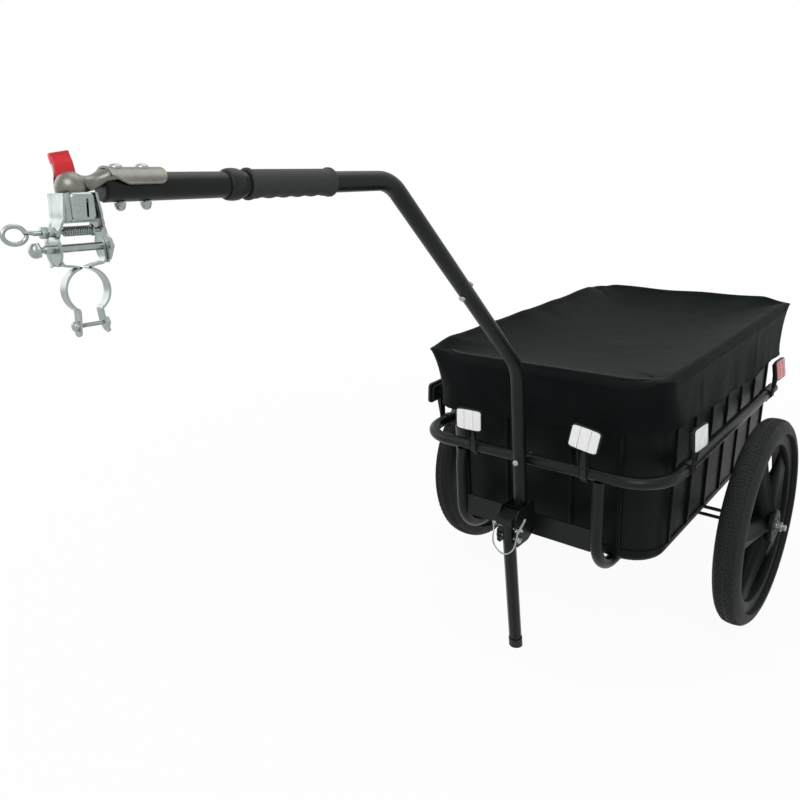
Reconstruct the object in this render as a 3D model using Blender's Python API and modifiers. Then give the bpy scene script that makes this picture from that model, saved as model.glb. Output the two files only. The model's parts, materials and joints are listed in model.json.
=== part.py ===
"""Bicycle cargo trailer: crate on a steel tube frame, drawbar with a ball coupling, two 16 inch wheels."""

import math

import bmesh
import bpy
from mathutils import Matrix, Vector

# Stance. Y runs along the trailer, drawbar towards -Y, and Z is up.
WHEEL_RADIUS = 0.200
AXLE_Y = 0.3704
PARK_PITCH = math.radians(2.3)
TRACK_HALF = 0.305
# The body's heights below are those of a level drawing, with the axle at this one.
AXLE_LEVEL = 0.200

# Clearances
GAP = 0.0003
RUNNING_FIT = 0.00006
BOLT_CLEARANCE = 0.0004
PIN_CLEARANCE = 0.0005

# Frame tube
TUBE_R = 0.0105
TUBE_WALL = 0.0015
TUBE_SIDES = 10
FLAT = math.cos(math.pi / TUBE_SIDES)
RAIL_Z = 0.381
RAIL_HALF = 0.240
RAIL_FRONT_Y = -0.340
RAIL_END_Y = 0.283
RAIL_BEND_R = 0.070
PLUG_DEPTH = 0.014
PLUG_FLANGE = 0.002
HOOP_X = 0.138
HOOP_FRONT_Y = -0.344
HOOP_REAR_Y = 0.408
HOOP_REAR_BEND_R = 0.040
HOOP_RUN_Z = 0.1964
HOOP_BEND_R = 0.066
CROSS_PLATE_Y = -0.343
CROSS_PLATE_T = 0.003
CROSS_PLATE_Z = (0.238, 0.280)

# Axle and outriggers
PLATE_TO_HUB = 0.011
OUTRIGGER_PLATE_T = 0.004
OUTRIGGER_PLATE_H = 0.040
OUTRIGGER_PLATE_W = 0.026
OUTRIGGER_ROD_R = 0.0035
OUTRIGGER_ROD_Z = (0.2030, 0.1870)
AXLE_HOLE_FLOOR = 0.0008
AXLE_CHAMFER = 0.001
OUTRIGGER_FOOT_T = 0.003
AXLE_R = 0.006
AXLE_PAST_HUB = 0.017
AXLE_NUT_T = 0.008
AXLE_NUT_ACROSS = 0.0095
WASHER_T = 0.0015
WASHER_R = 0.010

# Wheel
TYRE_HEIGHT = 0.026
RIM_R = WHEEL_RADIUS - TYRE_HEIGHT
RIM_HALF_WIDTH = 0.0160
RIM_DEPTH = 0.022
RIM_TAPER = 0.0020
RIM_LIP = 0.0019
BEAD_DEPTH = 0.010
TYRE_HALF_WIDTH = 0.0235
HUB_R = 0.031
HUB_NECK_R = 0.022
HUB_HALF_WIDTH = 0.032
OUTRIGGER_PLATE_X = TRACK_HALF - HUB_HALF_WIDTH - PLATE_TO_HUB
AXLE_END_X = TRACK_HALF + HUB_HALF_WIDTH + AXLE_PAST_HUB
BEARING_R = 0.0110
SPOKES = 5
SPOKE_FIRST = math.radians(31.0)
SPOKE_ROOT_HALF = 0.020
SPOKE_TIP_HALF = 0.031
SPOKE_ROOT_HALF_T = 0.0255
SPOKE_TIP_HALF_T = 0.0058
WHEEL_STEPS = 32
AXLE_STEPS = 16

# Crate
CRATE_BOTTOM_Z = HOOP_RUN_Z + TUBE_R + GAP
CRATE_TOP_Z = 0.5435
CRATE_WALL = 0.003
CRATE_FRONT_BOTTOM_Y = -0.2955
CRATE_REAR_BOTTOM_Y = 0.3780
CRATE_SIDE_ROOM = 0.0260
CRATE_HALF_BOTTOM = RAIL_HALF - CRATE_SIDE_ROOM
CRATE_TAPER = 0.0062
CRATE_CORNER_R = 0.062
CRATE_FLOOR_FILLET = 0.015
CRATE_RIM_OUT = 0.0042
CRATE_RIM_H = 0.014
CRATE_RIB_W = 0.007
CRATE_RIB_OUT = 0.0035
CRATE_RIB_PITCH = 0.088
CRATE_RIB_Z = (0.226, 0.500)
CRATE_RIM_CHAMFER = 0.0015
CRATE_RIM_STEP = 0.001

# Cover
COVER_T = 0.0016
COVER_EDGE_R = 0.006
COVER_EASE = 0.0010
COVER_SAG = 0.030
COVER_SAG_ROWS = (0.012, 0.070, 0.170)
COVER_EAR = 0.014
COVER_CORNER_RISE = 0.0045
COVER_SKIRT_Z = 0.443
COVER_SKIRT_RISE = 0.009
COVER_SKIRT_OUT = 0.0022
COVER_FOLD = 0.0030
COVER_FOLDS = 14
COVER_STEPS = 10

# Drawbar
BAR_R = 0.0118
BAR_WALL = 0.0015
BAR_FOOT = (-0.3580, 0.2500)
BAR_KNEE = (-0.3700, 0.5550)
BAR_SEAM = (-0.5290, 0.7236)
BAR_ELBOW = (-0.6656, 0.8674)
BAR_END = (-1.0404, 0.8814)
BAR_KNEE_R = 0.075
BAR_ELBOW_R = 0.052
SLEEVE_HALF = 0.050
SEAM_BOLT_BACK = 0.027
TOW_R = 0.0126
TOW_START = 0.225
GRIP_NEAR = 0.153
GRIP_FAR = 0.272
GRIP_R = 0.0148
GRIP_FLANGE_R = 0.0160
GRIP_GROOVES = 6
GRIP_STEPS = 12
COLLAR_NEAR = 0.127
COLLAR_FAR = 0.145
COLLAR_R = 0.0158
RAIL_BOLT_Z = 0.3845
SMALL_BOLT_R = 0.003
SMALL_HEAD_R = 0.0055

# Stand
LEG_R = 0.0115
LEG_WALL = 0.0015
LEG_LEAN = math.radians(5.0)
PIVOT_Y = -0.3980
PIVOT_Z = 0.2517
LEG_ABOVE = 0.0443
FOOT_CAP_T = 0.003
FOOT_CAP_OUT = 0.0012
FOOT_CAP_H = 0.018
BRACKET_HALF = 0.0180
BRACKET_T = 0.0025
BRACKET_FRONT_Y = -0.4080
BRACKET_TOP_Z = 0.3060
BRACKET_LOW_Z = 0.2380
BRACKET_CHAMFER = (0.022, 0.012)
WEB_Z = (0.264, 0.300)
PIVOT_R = 0.004
PIVOT_HEAD_R = 0.0068
LOCK_ABOVE = 0.0204
LOCK_PIN_R = 0.003
LOCK_PIN_END = 0.0262
LOCK_KNOB_R = 0.0042
BAIL_R = 0.0010
BAIL_DROP = 0.046
BAIL_AHEAD = 0.0165
BAIL_TWIST_R = 0.0022

# Coupling, measured from the ball's centre
BALL = (-1.0676, 0.8833)
BALL_R = 0.0089
CUP_IN_R = 0.0094
CUP_OUT_R = 0.0125
CUP_LIP = -0.0035
SADDLE_T = 0.0022
SADDLE_NEAR = 0.057
SADDLE_HALF_ANGLE = math.radians(84.0)
SADDLE_BOLTS = (0.0144, 0.0397)
SADDLE_BOLT_R = 0.0025
DOME_HEAD_R = 0.0056
ACORN_R = 0.0048
STEM_R = 0.0048
STEM_BLOCK = (0.0092, 0.0095, 0.0080)
STEM_BLOCK_Z = -0.0205
PLATE_T = 0.0022
PLATE_U = 0.0155
PLATE_HALF = 0.0185
PLATE_TOP = -0.0125
HOUSING_A = 0.0140
HOUSING_HALF = 0.0130
HOUSING_Z = (-0.0045, -0.0280)
SLOT_HALF = 0.0011
EYE_Z = -0.0353
EYE_R = 0.0023
EYE_RING_U = -0.0520
EYE_RING_R = 0.0088
EYE_WIRE_R = 0.0021
SPRING_R = 0.0044
SPRING_WIRE_R = 0.0006
SPRING_CURLS = 8
LONG_BOLT_Z = -0.0490
LONG_BOLT_R = 0.0026
LONG_BOLT_ENDS = (-0.0360, 0.0215)
LONG_HEAD = (0.0068, 0.0060)
LEVER_A = -0.0140
LEVER_T = 0.0018
LEVER_HALF = 0.0078
LEVER_U = 0.0020
LEVER_TOP = 0.0240
LEVER_PIN_Z = -0.0200
LEVER_PIN_R = 0.0015
LEVER_GRIP_H = 0.0185
LEVER_GRIP_T = 0.0050
STRAP_T = 0.0020
STRAP_HALF = 0.0056
RING_Z = -0.0852
RING_R = 0.0193
NECK_Z = -0.0632
NECK_U = 0.0016
CLAMP_EAR_U = 0.0105
CLAMP_BOLT_Z = -0.1150
CLAMP_EAR_END = -0.1245
CLAMP_BOLT_R = 0.0021
CLAMP_HEAD = (0.0048, 0.0038)

# Reflectors
LAMP_W = 0.056
LAMP_H = 0.043
LAMP_T = 0.014
LENS_T = 0.003
LENS_EDGE = 0.003
ARM_T = 0.002
ARM_W = 0.012
CLIP_T = 0.002


def new_collection(name, hidden):
    made = bpy.data.collections.new(name)
    bpy.context.scene.collection.children.link(made)
    made.hide_render = hidden
    return made


for leftover in list(bpy.data.objects):
    bpy.data.objects.remove(leftover)
PARTS = new_collection("bike_cargo_trailer", False)
CUTTERS = new_collection("cutters", True)


def material(name, rgb, roughness, metallic=0.0):
    made = bpy.data.materials.new(name)
    made.use_nodes = True
    shader = made.node_tree.nodes["Principled BSDF"]
    shader.inputs["Base Color"].default_value = (*rgb, 1.0)
    shader.inputs["Roughness"].default_value = roughness
    shader.inputs["Metallic"].default_value = metallic
    made.diffuse_color = (*rgb, 1.0)
    return made


FRAME_PAINT = material("frame_paint", (0.012, 0.012, 0.013), 0.42)
ZINC = material("zinc_steel", (0.62, 0.64, 0.66), 0.28, 1.0)
DULL_ZINC = material("dull_zinc", (0.42, 0.42, 0.40), 0.40, 1.0)
BLACK_PLASTIC = material("black_plastic", (0.015, 0.015, 0.016), 0.48)
MAG_PLASTIC = material("mag_plastic", (0.010, 0.010, 0.011), 0.40)
TYRE_RUBBER = material("tyre_rubber", (0.018, 0.018, 0.018), 0.85)
GRIP_RUBBER = material("grip_rubber", (0.030, 0.030, 0.032), 0.80)
COVER_CLOTH = material("cover_cloth", (0.010, 0.010, 0.011), 0.75)
RED_PLASTIC = material("red_plastic", (0.62, 0.02, 0.03), 0.35)
WHITE_LENS = material("white_lens", (0.80, 0.80, 0.80), 0.12)
RED_LENS = material("red_lens", (0.55, 0.01, 0.01), 0.15)
BEARING_STEEL = material("bearing_steel", (0.50, 0.50, 0.50), 0.25, 1.0)


def empty(name, location, rotation=(0.0, 0.0, 0.0), parent=None):
    made = bpy.data.objects.new(name, None)
    made.location = location
    made.rotation_euler = rotation
    made.parent = parent
    made.empty_display_size = 0.05
    PARTS.objects.link(made)
    return made


AXLE = empty("axle_line", (0.0, AXLE_Y, WHEEL_RADIUS))
BODY = empty("parked_body", (0.0, AXLE_Y, WHEEL_RADIUS), (PARK_PITCH, 0.0, 0.0))


def at(x, y, z):
    """A point of the level drawing, y from the axle, as seen from the pitched body."""
    return Vector((x, y, z - AXLE_LEVEL))


def world_of(point):
    """Where a point given by at() lies on the parked trailer."""
    turned_point = Matrix.Rotation(PARK_PITCH, 3, "X") @ point
    return turned_point + Vector((0.0, AXLE_Y, WHEEL_RADIUS))


BALL_CENTRE = world_of(at(0.0, *BALL))
HITCH = empty("hanging_hitch", BALL_CENTRE)

AXIS_TURN = {
    "X": (0.0, math.pi / 2, 0.0),
    "Y": (-math.pi / 2, 0.0, 0.0),
    "Z": (0.0, 0.0, 0.0),
}
PLATE_TURN = {
    "X": (math.pi / 2, 0.0, math.pi / 2),
    "Y": (math.pi / 2, 0.0, 0.0),
    "Z": (0.0, 0.0, 0.0),
}


def place(obj, parent, location, rotation, paint, collection=PARTS):
    obj.parent = parent
    obj.location = location
    obj.rotation_euler = rotation
    collection.objects.link(obj)
    if paint:
        obj.data.materials.append(paint)
    else:
        obj.hide_render = True
        obj.display_type = "WIRE"
    return obj


def smooth(obj):
    obj.data.shade_smooth()
    obj.data.set_sharp_from_angle(angle=math.radians(35.0))
    return obj


def mesh_from(name, bm):
    bmesh.ops.recalc_face_normals(bm, faces=bm.faces)
    mesh = bpy.data.meshes.new(name)
    bm.to_mesh(mesh)
    bm.free()
    return bpy.data.objects.new(name, mesh)


def box(name, size, location, parent, paint, rotation=(0.0, 0.0, 0.0), bevel=0.0, rows=2):
    bm = bmesh.new()
    bmesh.ops.create_cube(bm, size=1.0)
    bmesh.ops.scale(bm, vec=size, verts=bm.verts)
    obj = place(mesh_from(name, bm), parent, location, rotation, paint, PARTS if paint else CUTTERS)
    if bevel:
        rounding = obj.modifiers.new("rounding", "BEVEL")
        rounding.width = bevel
        rounding.segments = rows
    return obj


def rod(name, radius, length, location, axis, parent, paint, sides=12, end_radius=None):
    """A round bar or, without paint, a cutter whose flat sides leave the whole radius free."""
    if paint is None:
        radius = radius / math.cos(math.pi / sides)
    bm = bmesh.new()
    bmesh.ops.create_cone(
        bm,
        cap_ends=True,
        segments=sides,
        radius1=radius,
        radius2=radius if end_radius is None else end_radius,
        depth=length,
    )
    made = mesh_from(name, bm)
    turn = AXIS_TURN[axis] if isinstance(axis, str) else axis
    place(made, parent, location, turn, paint, PARTS if paint else CUTTERS)
    return smooth(made)


def turned(name, profile, location, axis, parent, paint, steps=14, ring=False):
    """A profile of (radius, height) points, given from its top down its outer side, turned about the axis."""
    bm = bmesh.new()
    points = [bm.verts.new((radius, 0.0, height)) for radius, height in profile]
    for start, end in zip(points, points[1:]):
        bm.edges.new((start, end))
    if ring:
        bm.edges.new((points[-1], points[0]))
    mesh = bpy.data.meshes.new(name)
    bm.to_mesh(mesh)
    bm.free()
    obj = bpy.data.objects.new(name, mesh)
    turn = AXIS_TURN[axis] if isinstance(axis, str) else axis
    place(obj, parent, location, turn, paint, PARTS if paint else CUTTERS)
    screw = obj.modifiers.new("turning", "SCREW")
    screw.steps = steps
    screw.render_steps = steps
    screw.use_merge_vertices = True
    screw.merge_threshold = 0.00002
    screw.use_smooth_shade = True
    return obj


def apply_all(obj, name=None):
    """The object's evaluated mesh as a plain, welded mesh object in the same place."""
    bpy.context.view_layer.update()
    graph = bpy.context.evaluated_depsgraph_get()
    mesh = bpy.data.meshes.new_from_object(obj.evaluated_get(graph))
    bm = bmesh.new()
    bm.from_mesh(mesh)
    bmesh.ops.remove_doubles(bm, verts=bm.verts, dist=0.000002)
    bmesh.ops.recalc_face_normals(bm, faces=bm.faces)
    bm.to_mesh(mesh)
    bm.free()
    kept = name or obj.name
    parent, matrix, homes = obj.parent, obj.matrix_local.copy(), list(obj.users_collection)
    hidden = obj.hide_render
    bpy.data.objects.remove(obj)
    made = bpy.data.objects.new(kept, mesh)
    for home in homes:
        home.objects.link(made)
    made.parent = parent
    made.matrix_local = matrix
    made.hide_render = hidden
    if hidden:
        made.display_type = "WIRE"
    return smooth(made)


def combine(obj, others, operation):
    """One Boolean per other object; those objects are hidden helpers afterwards."""
    for other in others:
        step = obj.modifiers.new(operation.lower(), "BOOLEAN")
        step.operation = operation
        step.object = other
        step.solver = "EXACT"
        for home in list(other.users_collection):
            home.objects.unlink(other)
        CUTTERS.objects.link(other)
        other.hide_render = True
        other.display_type = "WIRE"
    return apply_all(obj)


def cut(obj, cutters):
    return combine(obj, cutters, "DIFFERENCE")


def weld(obj, pieces):
    return combine(obj, pieces, "UNION")


def weld_many(obj, pieces):
    """Joins many pieces that stand clear of each other in one Boolean, as one hidden collection."""
    group = bpy.data.collections.new(f"{obj.name}_pieces")
    CUTTERS.children.link(group)
    for piece in pieces:
        for home in list(piece.users_collection):
            home.objects.unlink(piece)
        group.objects.link(piece)
        piece.hide_render = True
        piece.display_type = "WIRE"
    step = obj.modifiers.new("union", "BOOLEAN")
    step.operation = "UNION"
    step.operand_type = "COLLECTION"
    step.collection = group
    step.solver = "EXACT"
    return apply_all(obj)


def rounded(points, radius, steps=4):
    """The polyline with each inner corner replaced by an arc."""
    points = [Vector(p) for p in points]
    path = [points[0]]
    for before, corner, after in zip(points, points[1:], points[2:]):
        into = (corner - before).normalized()
        out = (after - corner).normalized()
        turn = into.angle(out)
        reach = radius * math.tan(turn / 2)
        normal = into.cross(out).normalized()
        inward = normal.cross(into)
        centre = corner - into * reach + inward * radius
        for step in range(steps + 1):
            angle = turn * step / steps
            arm = -inward * math.cos(angle) + into * math.sin(angle)
            path.append(centre + arm * radius)
    path.append(points[-1])
    return path


def tube(name, points, radius, parent, paint, wall=0.0, sides=TUBE_SIDES, closed=False):
    """A tube along the points; with a wall it is hollow and open at both ends."""
    curve = bpy.data.curves.new(name, "CURVE")
    curve.dimensions = "3D"
    curve.bevel_depth = radius
    curve.bevel_resolution = sides // 2 - 2
    curve.use_fill_caps = not wall and not closed
    curve.twist_mode = "MINIMUM"
    spline = curve.splines.new("POLY")
    spline.points.add(len(points) - 1)
    for knot, point in zip(spline.points, points):
        knot.co = (*point, 1.0)
    spline.use_cyclic_u = closed
    spline.use_smooth = True
    kept_in = PARTS if paint else CUTTERS
    obj = place(bpy.data.objects.new(name, curve), parent, (0, 0, 0), (0, 0, 0), paint, kept_in)
    if wall:
        shell = obj.modifiers.new("wall", "SOLIDIFY")
        shell.thickness = wall
        shell.offset = -1.0
    return apply_all(obj)


def circle(centre, radius, steps=10):
    return [
        tuple(
            middle + radius * turn(math.tau * i / steps)
            for middle, turn in zip(centre, (math.cos, math.sin))
        )
        for i in range(steps)
    ]


def arc(centre, radius, start, end, steps=10):
    return [
        (
            centre[0] + radius * math.cos(start + (end - start) * i / steps),
            centre[1] + radius * math.sin(start + (end - start) * i / steps),
        )
        for i in range(steps + 1)
    ]


def plate(name, outlines, thickness, location, axis, parent, paint):
    """A flat plate from an outline and its holes, square to the axis."""
    curve = bpy.data.curves.new(name, "CURVE")
    curve.dimensions = "2D"
    curve.fill_mode = "BOTH"
    curve.extrude = thickness / 2
    for outline in outlines:
        spline = curve.splines.new("POLY")
        spline.points.add(len(outline) - 1)
        for knot, (u, v) in zip(spline.points, outline):
            knot.co = (u, v, 0.0, 1.0)
        spline.use_cyclic_u = True
    turn = PLATE_TURN[axis] if isinstance(axis, str) else axis
    obj = place(bpy.data.objects.new(name, curve), parent, location, turn, paint, PARTS if paint else CUTTERS)
    return apply_all(obj)


def bar_point(back_from_end, radius_off=0.0):
    """A point on the level front run of the drawbar, measured back from its open end."""
    end, elbow = Vector(BAR_END), Vector(BAR_ELBOW)
    along = (elbow - end).normalized()
    up = Vector((-along.y, along.x))
    spot = end + along * back_from_end + up * radius_off
    return at(0.0, spot.x, spot.y)


FRONT_RUN_TILT = math.atan2(BAR_END[1] - BAR_ELBOW[1], BAR_ELBOW[0] - BAR_END[0])
FRONT_RUN_TURN = (math.pi / 2 - FRONT_RUN_TILT, 0.0, 0.0)


def bolt(name, head_r, shank_r, length, location, axis, parent, paint, head_h=None, shift=0.0):
    """A domed bolt: its head sits at the top of the axis, and its underside is at the location."""
    height = head_h or head_r * 0.75
    crown = [
        (head_r * math.sin(math.pi / 2 * i / 3), height * (0.35 + 0.65 * math.cos(math.pi / 2 * i / 3)))
        for i in range(4)
    ]
    crown[0] = (0.0, height)
    profile = crown + [(head_r, 0.0), (shank_r, 0.0), (shank_r, -length), (0.0, -length)]
    profile = [(radius, rise + shift) for radius, rise in profile]
    return turned(name, profile, location, axis, parent, paint, steps=10)


def hex_nut(name, across_r, height, location, axis, parent, paint):
    return plate(name, [circle((0.0, 0.0), across_r, 6)], height, location, axis, parent, paint)


def make_rail():
    corners = [
        at(-RAIL_HALF, RAIL_END_Y, RAIL_Z),
        at(-RAIL_HALF, RAIL_FRONT_Y, RAIL_Z),
        at(RAIL_HALF, RAIL_FRONT_Y, RAIL_Z),
        at(RAIL_HALF, RAIL_END_Y, RAIL_Z),
    ]
    rail = tube("waist_rail", rounded(corners, RAIL_BEND_R), TUBE_R, BODY, FRAME_PAINT, TUBE_WALL)
    hole = rod(
        "rail_bolt_hole",
        SMALL_BOLT_R + BOLT_CLEARANCE,
        4 * TUBE_R,
        at(0.0, RAIL_FRONT_Y, RAIL_BOLT_Z),
        "Y",
        BODY,
        None,
    )
    cut(rail, [hole])
    inner = (TUBE_R - TUBE_WALL) * FLAT - GAP
    profile = [
        (0.0, PLUG_FLANGE + GAP),
        (TUBE_R * 0.8, PLUG_FLANGE + GAP),
        (TUBE_R, GAP + 0.0008),
        (TUBE_R, GAP),
        (inner, GAP),
        (inner, -PLUG_DEPTH),
        (0.0, -PLUG_DEPTH),
    ]
    for name, side in (("rail_plug_left", -1), ("rail_plug_right", 1)):
        spot = at(side * RAIL_HALF, RAIL_END_Y, RAIL_Z)
        apply_all(turned(name, profile, spot, "Y", BODY, BLACK_PLASTIC, steps=12))


def make_hoops():
    top = RAIL_Z - TUBE_R - GAP
    for name, side in (("hoop_left", -1), ("hoop_right", 1)):
        x = side * HOOP_X
        corners = [
            at(x, RAIL_FRONT_Y, top),
            at(x, HOOP_FRONT_Y, top - 0.03),
            at(x, HOOP_FRONT_Y, HOOP_RUN_Z),
            at(x, HOOP_REAR_Y, HOOP_RUN_Z),
            at(x, HOOP_REAR_Y, top),
        ]
        middle = at(x, 0.0, HOOP_RUN_Z)
        path = [corners[0]] + rounded(corners[1:3] + [middle], HOOP_BEND_R)[:-1]
        path += rounded([middle] + corners[3:], HOOP_REAR_BEND_R)[1:]
        tube(name, path, TUBE_R, BODY, FRAME_PAINT, TUBE_WALL)
    ends = [at(side * (HOOP_X + 0.02), HOOP_REAR_Y, RAIL_Z) for side in (-1, 1)]
    tube("rear_crossbar", ends, TUBE_R, BODY, FRAME_PAINT, TUBE_WALL)
    width = 2 * (HOOP_X - TUBE_R - GAP)
    height = CROSS_PLATE_Z[1] - CROSS_PLATE_Z[0]
    spot = at(0.0, CROSS_PLATE_Y, sum(CROSS_PLATE_Z) / 2)
    box("cross_plate", (width, CROSS_PLATE_T, height), spot, BODY, FRAME_PAINT)


def make_axle_parts():
    inner = HOOP_X - TUBE_R - GAP
    ends = [at(side * inner, 0.0, HOOP_RUN_Z) for side in (-1, 1)]
    tube("axle_beam", ends, TUBE_R, BODY, FRAME_PAINT, TUBE_WALL)
    foot_x = HOOP_X + TUBE_R + GAP + OUTRIGGER_FOOT_T / 2
    rod_low, rod_high = min(OUTRIGGER_ROD_Z), max(OUTRIGGER_ROD_Z)
    for side, word in ((-1, "left"), (1, "right")):
        start = foot_x
        end = OUTRIGGER_PLATE_X
        middle = at(side * foot_x, 0.0, (rod_low + rod_high) / 2)
        foot_h = rod_high - rod_low + 2 * OUTRIGGER_ROD_R - 0.0006
        foot = box(f"outrigger_{word}", (OUTRIGGER_FOOT_T, 0.030, foot_h), middle, BODY, FRAME_PAINT)
        rods = []
        for height in OUTRIGGER_ROD_Z:
            centre = at(side * (start + end) / 2, 0.0, height)
            bar_name = f"bar_{word}_{height}"
            rods.append(rod(bar_name, OUTRIGGER_ROD_R, end - start, centre, "X", BODY, FRAME_PAINT, 14))
        spot = at(side * OUTRIGGER_PLATE_X, 0.0, AXLE_LEVEL)
        hanger = box(
            f"hanger_{word}",
            (OUTRIGGER_PLATE_T, OUTRIGGER_PLATE_W, OUTRIGGER_PLATE_H),
            spot,
            BODY,
            FRAME_PAINT,
            bevel=0.0012,
        )
        weld(foot, rods + [hanger])
        make_axle(side, word)


def make_axle(side, word):
    plate_out = OUTRIGGER_PLATE_X + OUTRIGGER_PLATE_T / 2
    blind = OUTRIGGER_PLATE_X - OUTRIGGER_PLATE_T / 2 + AXLE_HOLE_FLOOR
    spot = (side * (blind + 0.01), 0.0, 0.0)
    cut(
        bpy.data.objects[f"outrigger_{word}"],
        [rod(f"axle_hole_{word}", AXLE_R + BOLT_CLEARANCE, 0.02, spot, "X", BODY, None)],
    )
    start = blind + GAP
    profile = [
        (0.0, AXLE_END_X - start),
        (AXLE_R - AXLE_CHAMFER, AXLE_END_X - start),
        (AXLE_R, AXLE_END_X - start - AXLE_CHAMFER),
        (AXLE_R, 0.0),
        (0.0, 0.0),
    ]
    turn = (0.0, side * math.pi / 2, 0.0)
    axle = turned(f"axle_{word}", profile, (side * start, 0.0, 0.0), turn, AXLE, ZINC, steps=AXLE_STEPS)
    hub_out = TRACK_HALF + HUB_HALF_WIDTH
    hub_in = TRACK_HALF - HUB_HALF_WIDTH
    washer_x = hub_out + GAP + WASHER_T / 2
    nut_x = hub_out + GAP + WASHER_T + AXLE_NUT_T / 2 - 0.0001
    lock_t = hub_in - plate_out - 2 * GAP
    lock_x = (hub_in + plate_out) / 2
    weld(
        axle,
        [
            hex_nut(f"nut_{word}", AXLE_NUT_ACROSS, AXLE_NUT_T, (side * nut_x, 0, 0), "X", AXLE, ZINC),
            rod(f"washer_{word}", WASHER_R, WASHER_T, (side * washer_x, 0, 0), "X", AXLE, ZINC),
            hex_nut(f"lock_{word}", AXLE_NUT_ACROSS, lock_t, (side * lock_x, 0, 0), "X", AXLE, ZINC),
        ],
    )


def tyre_profile():
    """Round shoulders over a slightly flatter tread, in to the bead seat and the flat inner band."""
    steps = 6
    height = WHEEL_RADIUS - RIM_R
    seat = RIM_HALF_WIDTH - RIM_LIP - GAP
    bed = RIM_R - BEAD_DEPTH
    outer = []
    for i in range(steps + 1):
        angle = math.pi * i / steps
        across = TYRE_HALF_WIDTH * math.copysign(abs(math.cos(angle)) ** 0.85, math.cos(angle))
        rise = height * max(math.sin(angle), 0.0) ** 0.62
        outer.append((RIM_R + rise, across))
    top = [(bed, seat), (RIM_R + GAP, seat), (RIM_R + GAP, RIM_HALF_WIDTH + GAP * 2)]
    low = [(radius, -across) for radius, across in reversed(top)]
    return top + outer + low


def make_wheel(side, word):
    centre = (side * TRACK_HALF, 0.0, 0.0)
    tyre = turned(
        f"tyre_{word}", tyre_profile(), centre, "X", AXLE, TYRE_RUBBER, steps=WHEEL_STEPS, ring=True
    )
    turned_tyre = apply_all(tyre)
    turned_tyre.rotation_euler.x = 0.0
    seat = RIM_HALF_WIDTH - RIM_LIP
    bed = RIM_R - BEAD_DEPTH - GAP
    low = RIM_R - RIM_DEPTH
    foot = RIM_HALF_WIDTH - RIM_TAPER
    half = [(low, foot), (RIM_R, RIM_HALF_WIDTH), (RIM_R, seat), (bed, seat)]
    ring = half + [(radius, -across) for radius, across in reversed(half)]
    mag = turned(f"mag_wheel_{word}", ring, centre, "X", AXLE, MAG_PLASTIC, steps=WHEEL_STEPS, ring=True)
    hub = [
        (0.0, HUB_HALF_WIDTH),
        (HUB_R, HUB_HALF_WIDTH),
        (HUB_R, HUB_HALF_WIDTH - 0.008),
        (HUB_NECK_R, HUB_HALF_WIDTH - 0.013),
        (HUB_NECK_R, 0.013 - HUB_HALF_WIDTH),
        (HUB_R, 0.008 - HUB_HALF_WIDTH),
        (HUB_R, -HUB_HALF_WIDTH),
        (0.0, -HUB_HALF_WIDTH),
    ]
    pieces = [turned(f"hub_{word}", hub, centre, "X", AXLE, MAG_PLASTIC, steps=16)]
    for number in range(SPOKES):
        angle = SPOKE_FIRST + math.tau * number / SPOKES
        pieces.append(make_spoke(f"spoke_{word}_{number}", centre, angle))
    mag = weld(mag, pieces)
    corner = 1 / math.cos(math.pi / AXLE_STEPS)
    bore = rod(f"bore_{word}", BEARING_R + GAP, 4 * HUB_HALF_WIDTH, centre, "X", AXLE, None, AXLE_STEPS)
    cut(mag, [bore])
    inside = (AXLE_R + RUNNING_FIT) * corner
    shape = [circle((0, 0), BEARING_R, AXLE_STEPS), circle((0, 0), inside, AXLE_STEPS)]
    plate(f"wheel_bearing_{word}", shape, 2 * HUB_HALF_WIDTH, centre, "X", AXLE, BEARING_STEEL)


def make_spoke(name, centre, angle):
    """A broad leaf that narrows and thickens to the hub, highest along its middle."""
    reach = RIM_R - RIM_DEPTH + 0.004
    root = HUB_NECK_R * 0.8
    bm = bmesh.new()
    rings = []
    stations = 2
    for i in range(stations + 1):
        share = i / stations
        along = root + (reach - root) * share
        waist = SPOKE_ROOT_HALF + (SPOKE_TIP_HALF - SPOKE_ROOT_HALF) * share**1.6
        thick = SPOKE_ROOT_HALF_T + (SPOKE_TIP_HALF_T - SPOKE_ROOT_HALF_T) * share
        section = [
            (-waist, 0.0),
            (-waist * 0.55, -thick),
            (waist * 0.55, -thick),
            (waist, 0.0),
            (waist * 0.55, thick),
            (-waist * 0.55, thick),
        ]
        rings.append([bm.verts.new((across, along, aside)) for aside, across in section])
    for lower, upper in zip(rings, rings[1:]):
        for i in range(len(lower)):
            j = (i + 1) % len(lower)
            bm.faces.new((lower[i], lower[j], upper[j], upper[i]))
    bm.faces.new(rings[0][::-1])
    bm.faces.new(rings[-1])
    return place(mesh_from(name, bm), AXLE, centre, (angle, 0.0, 0.0), MAG_PLASTIC)


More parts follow.
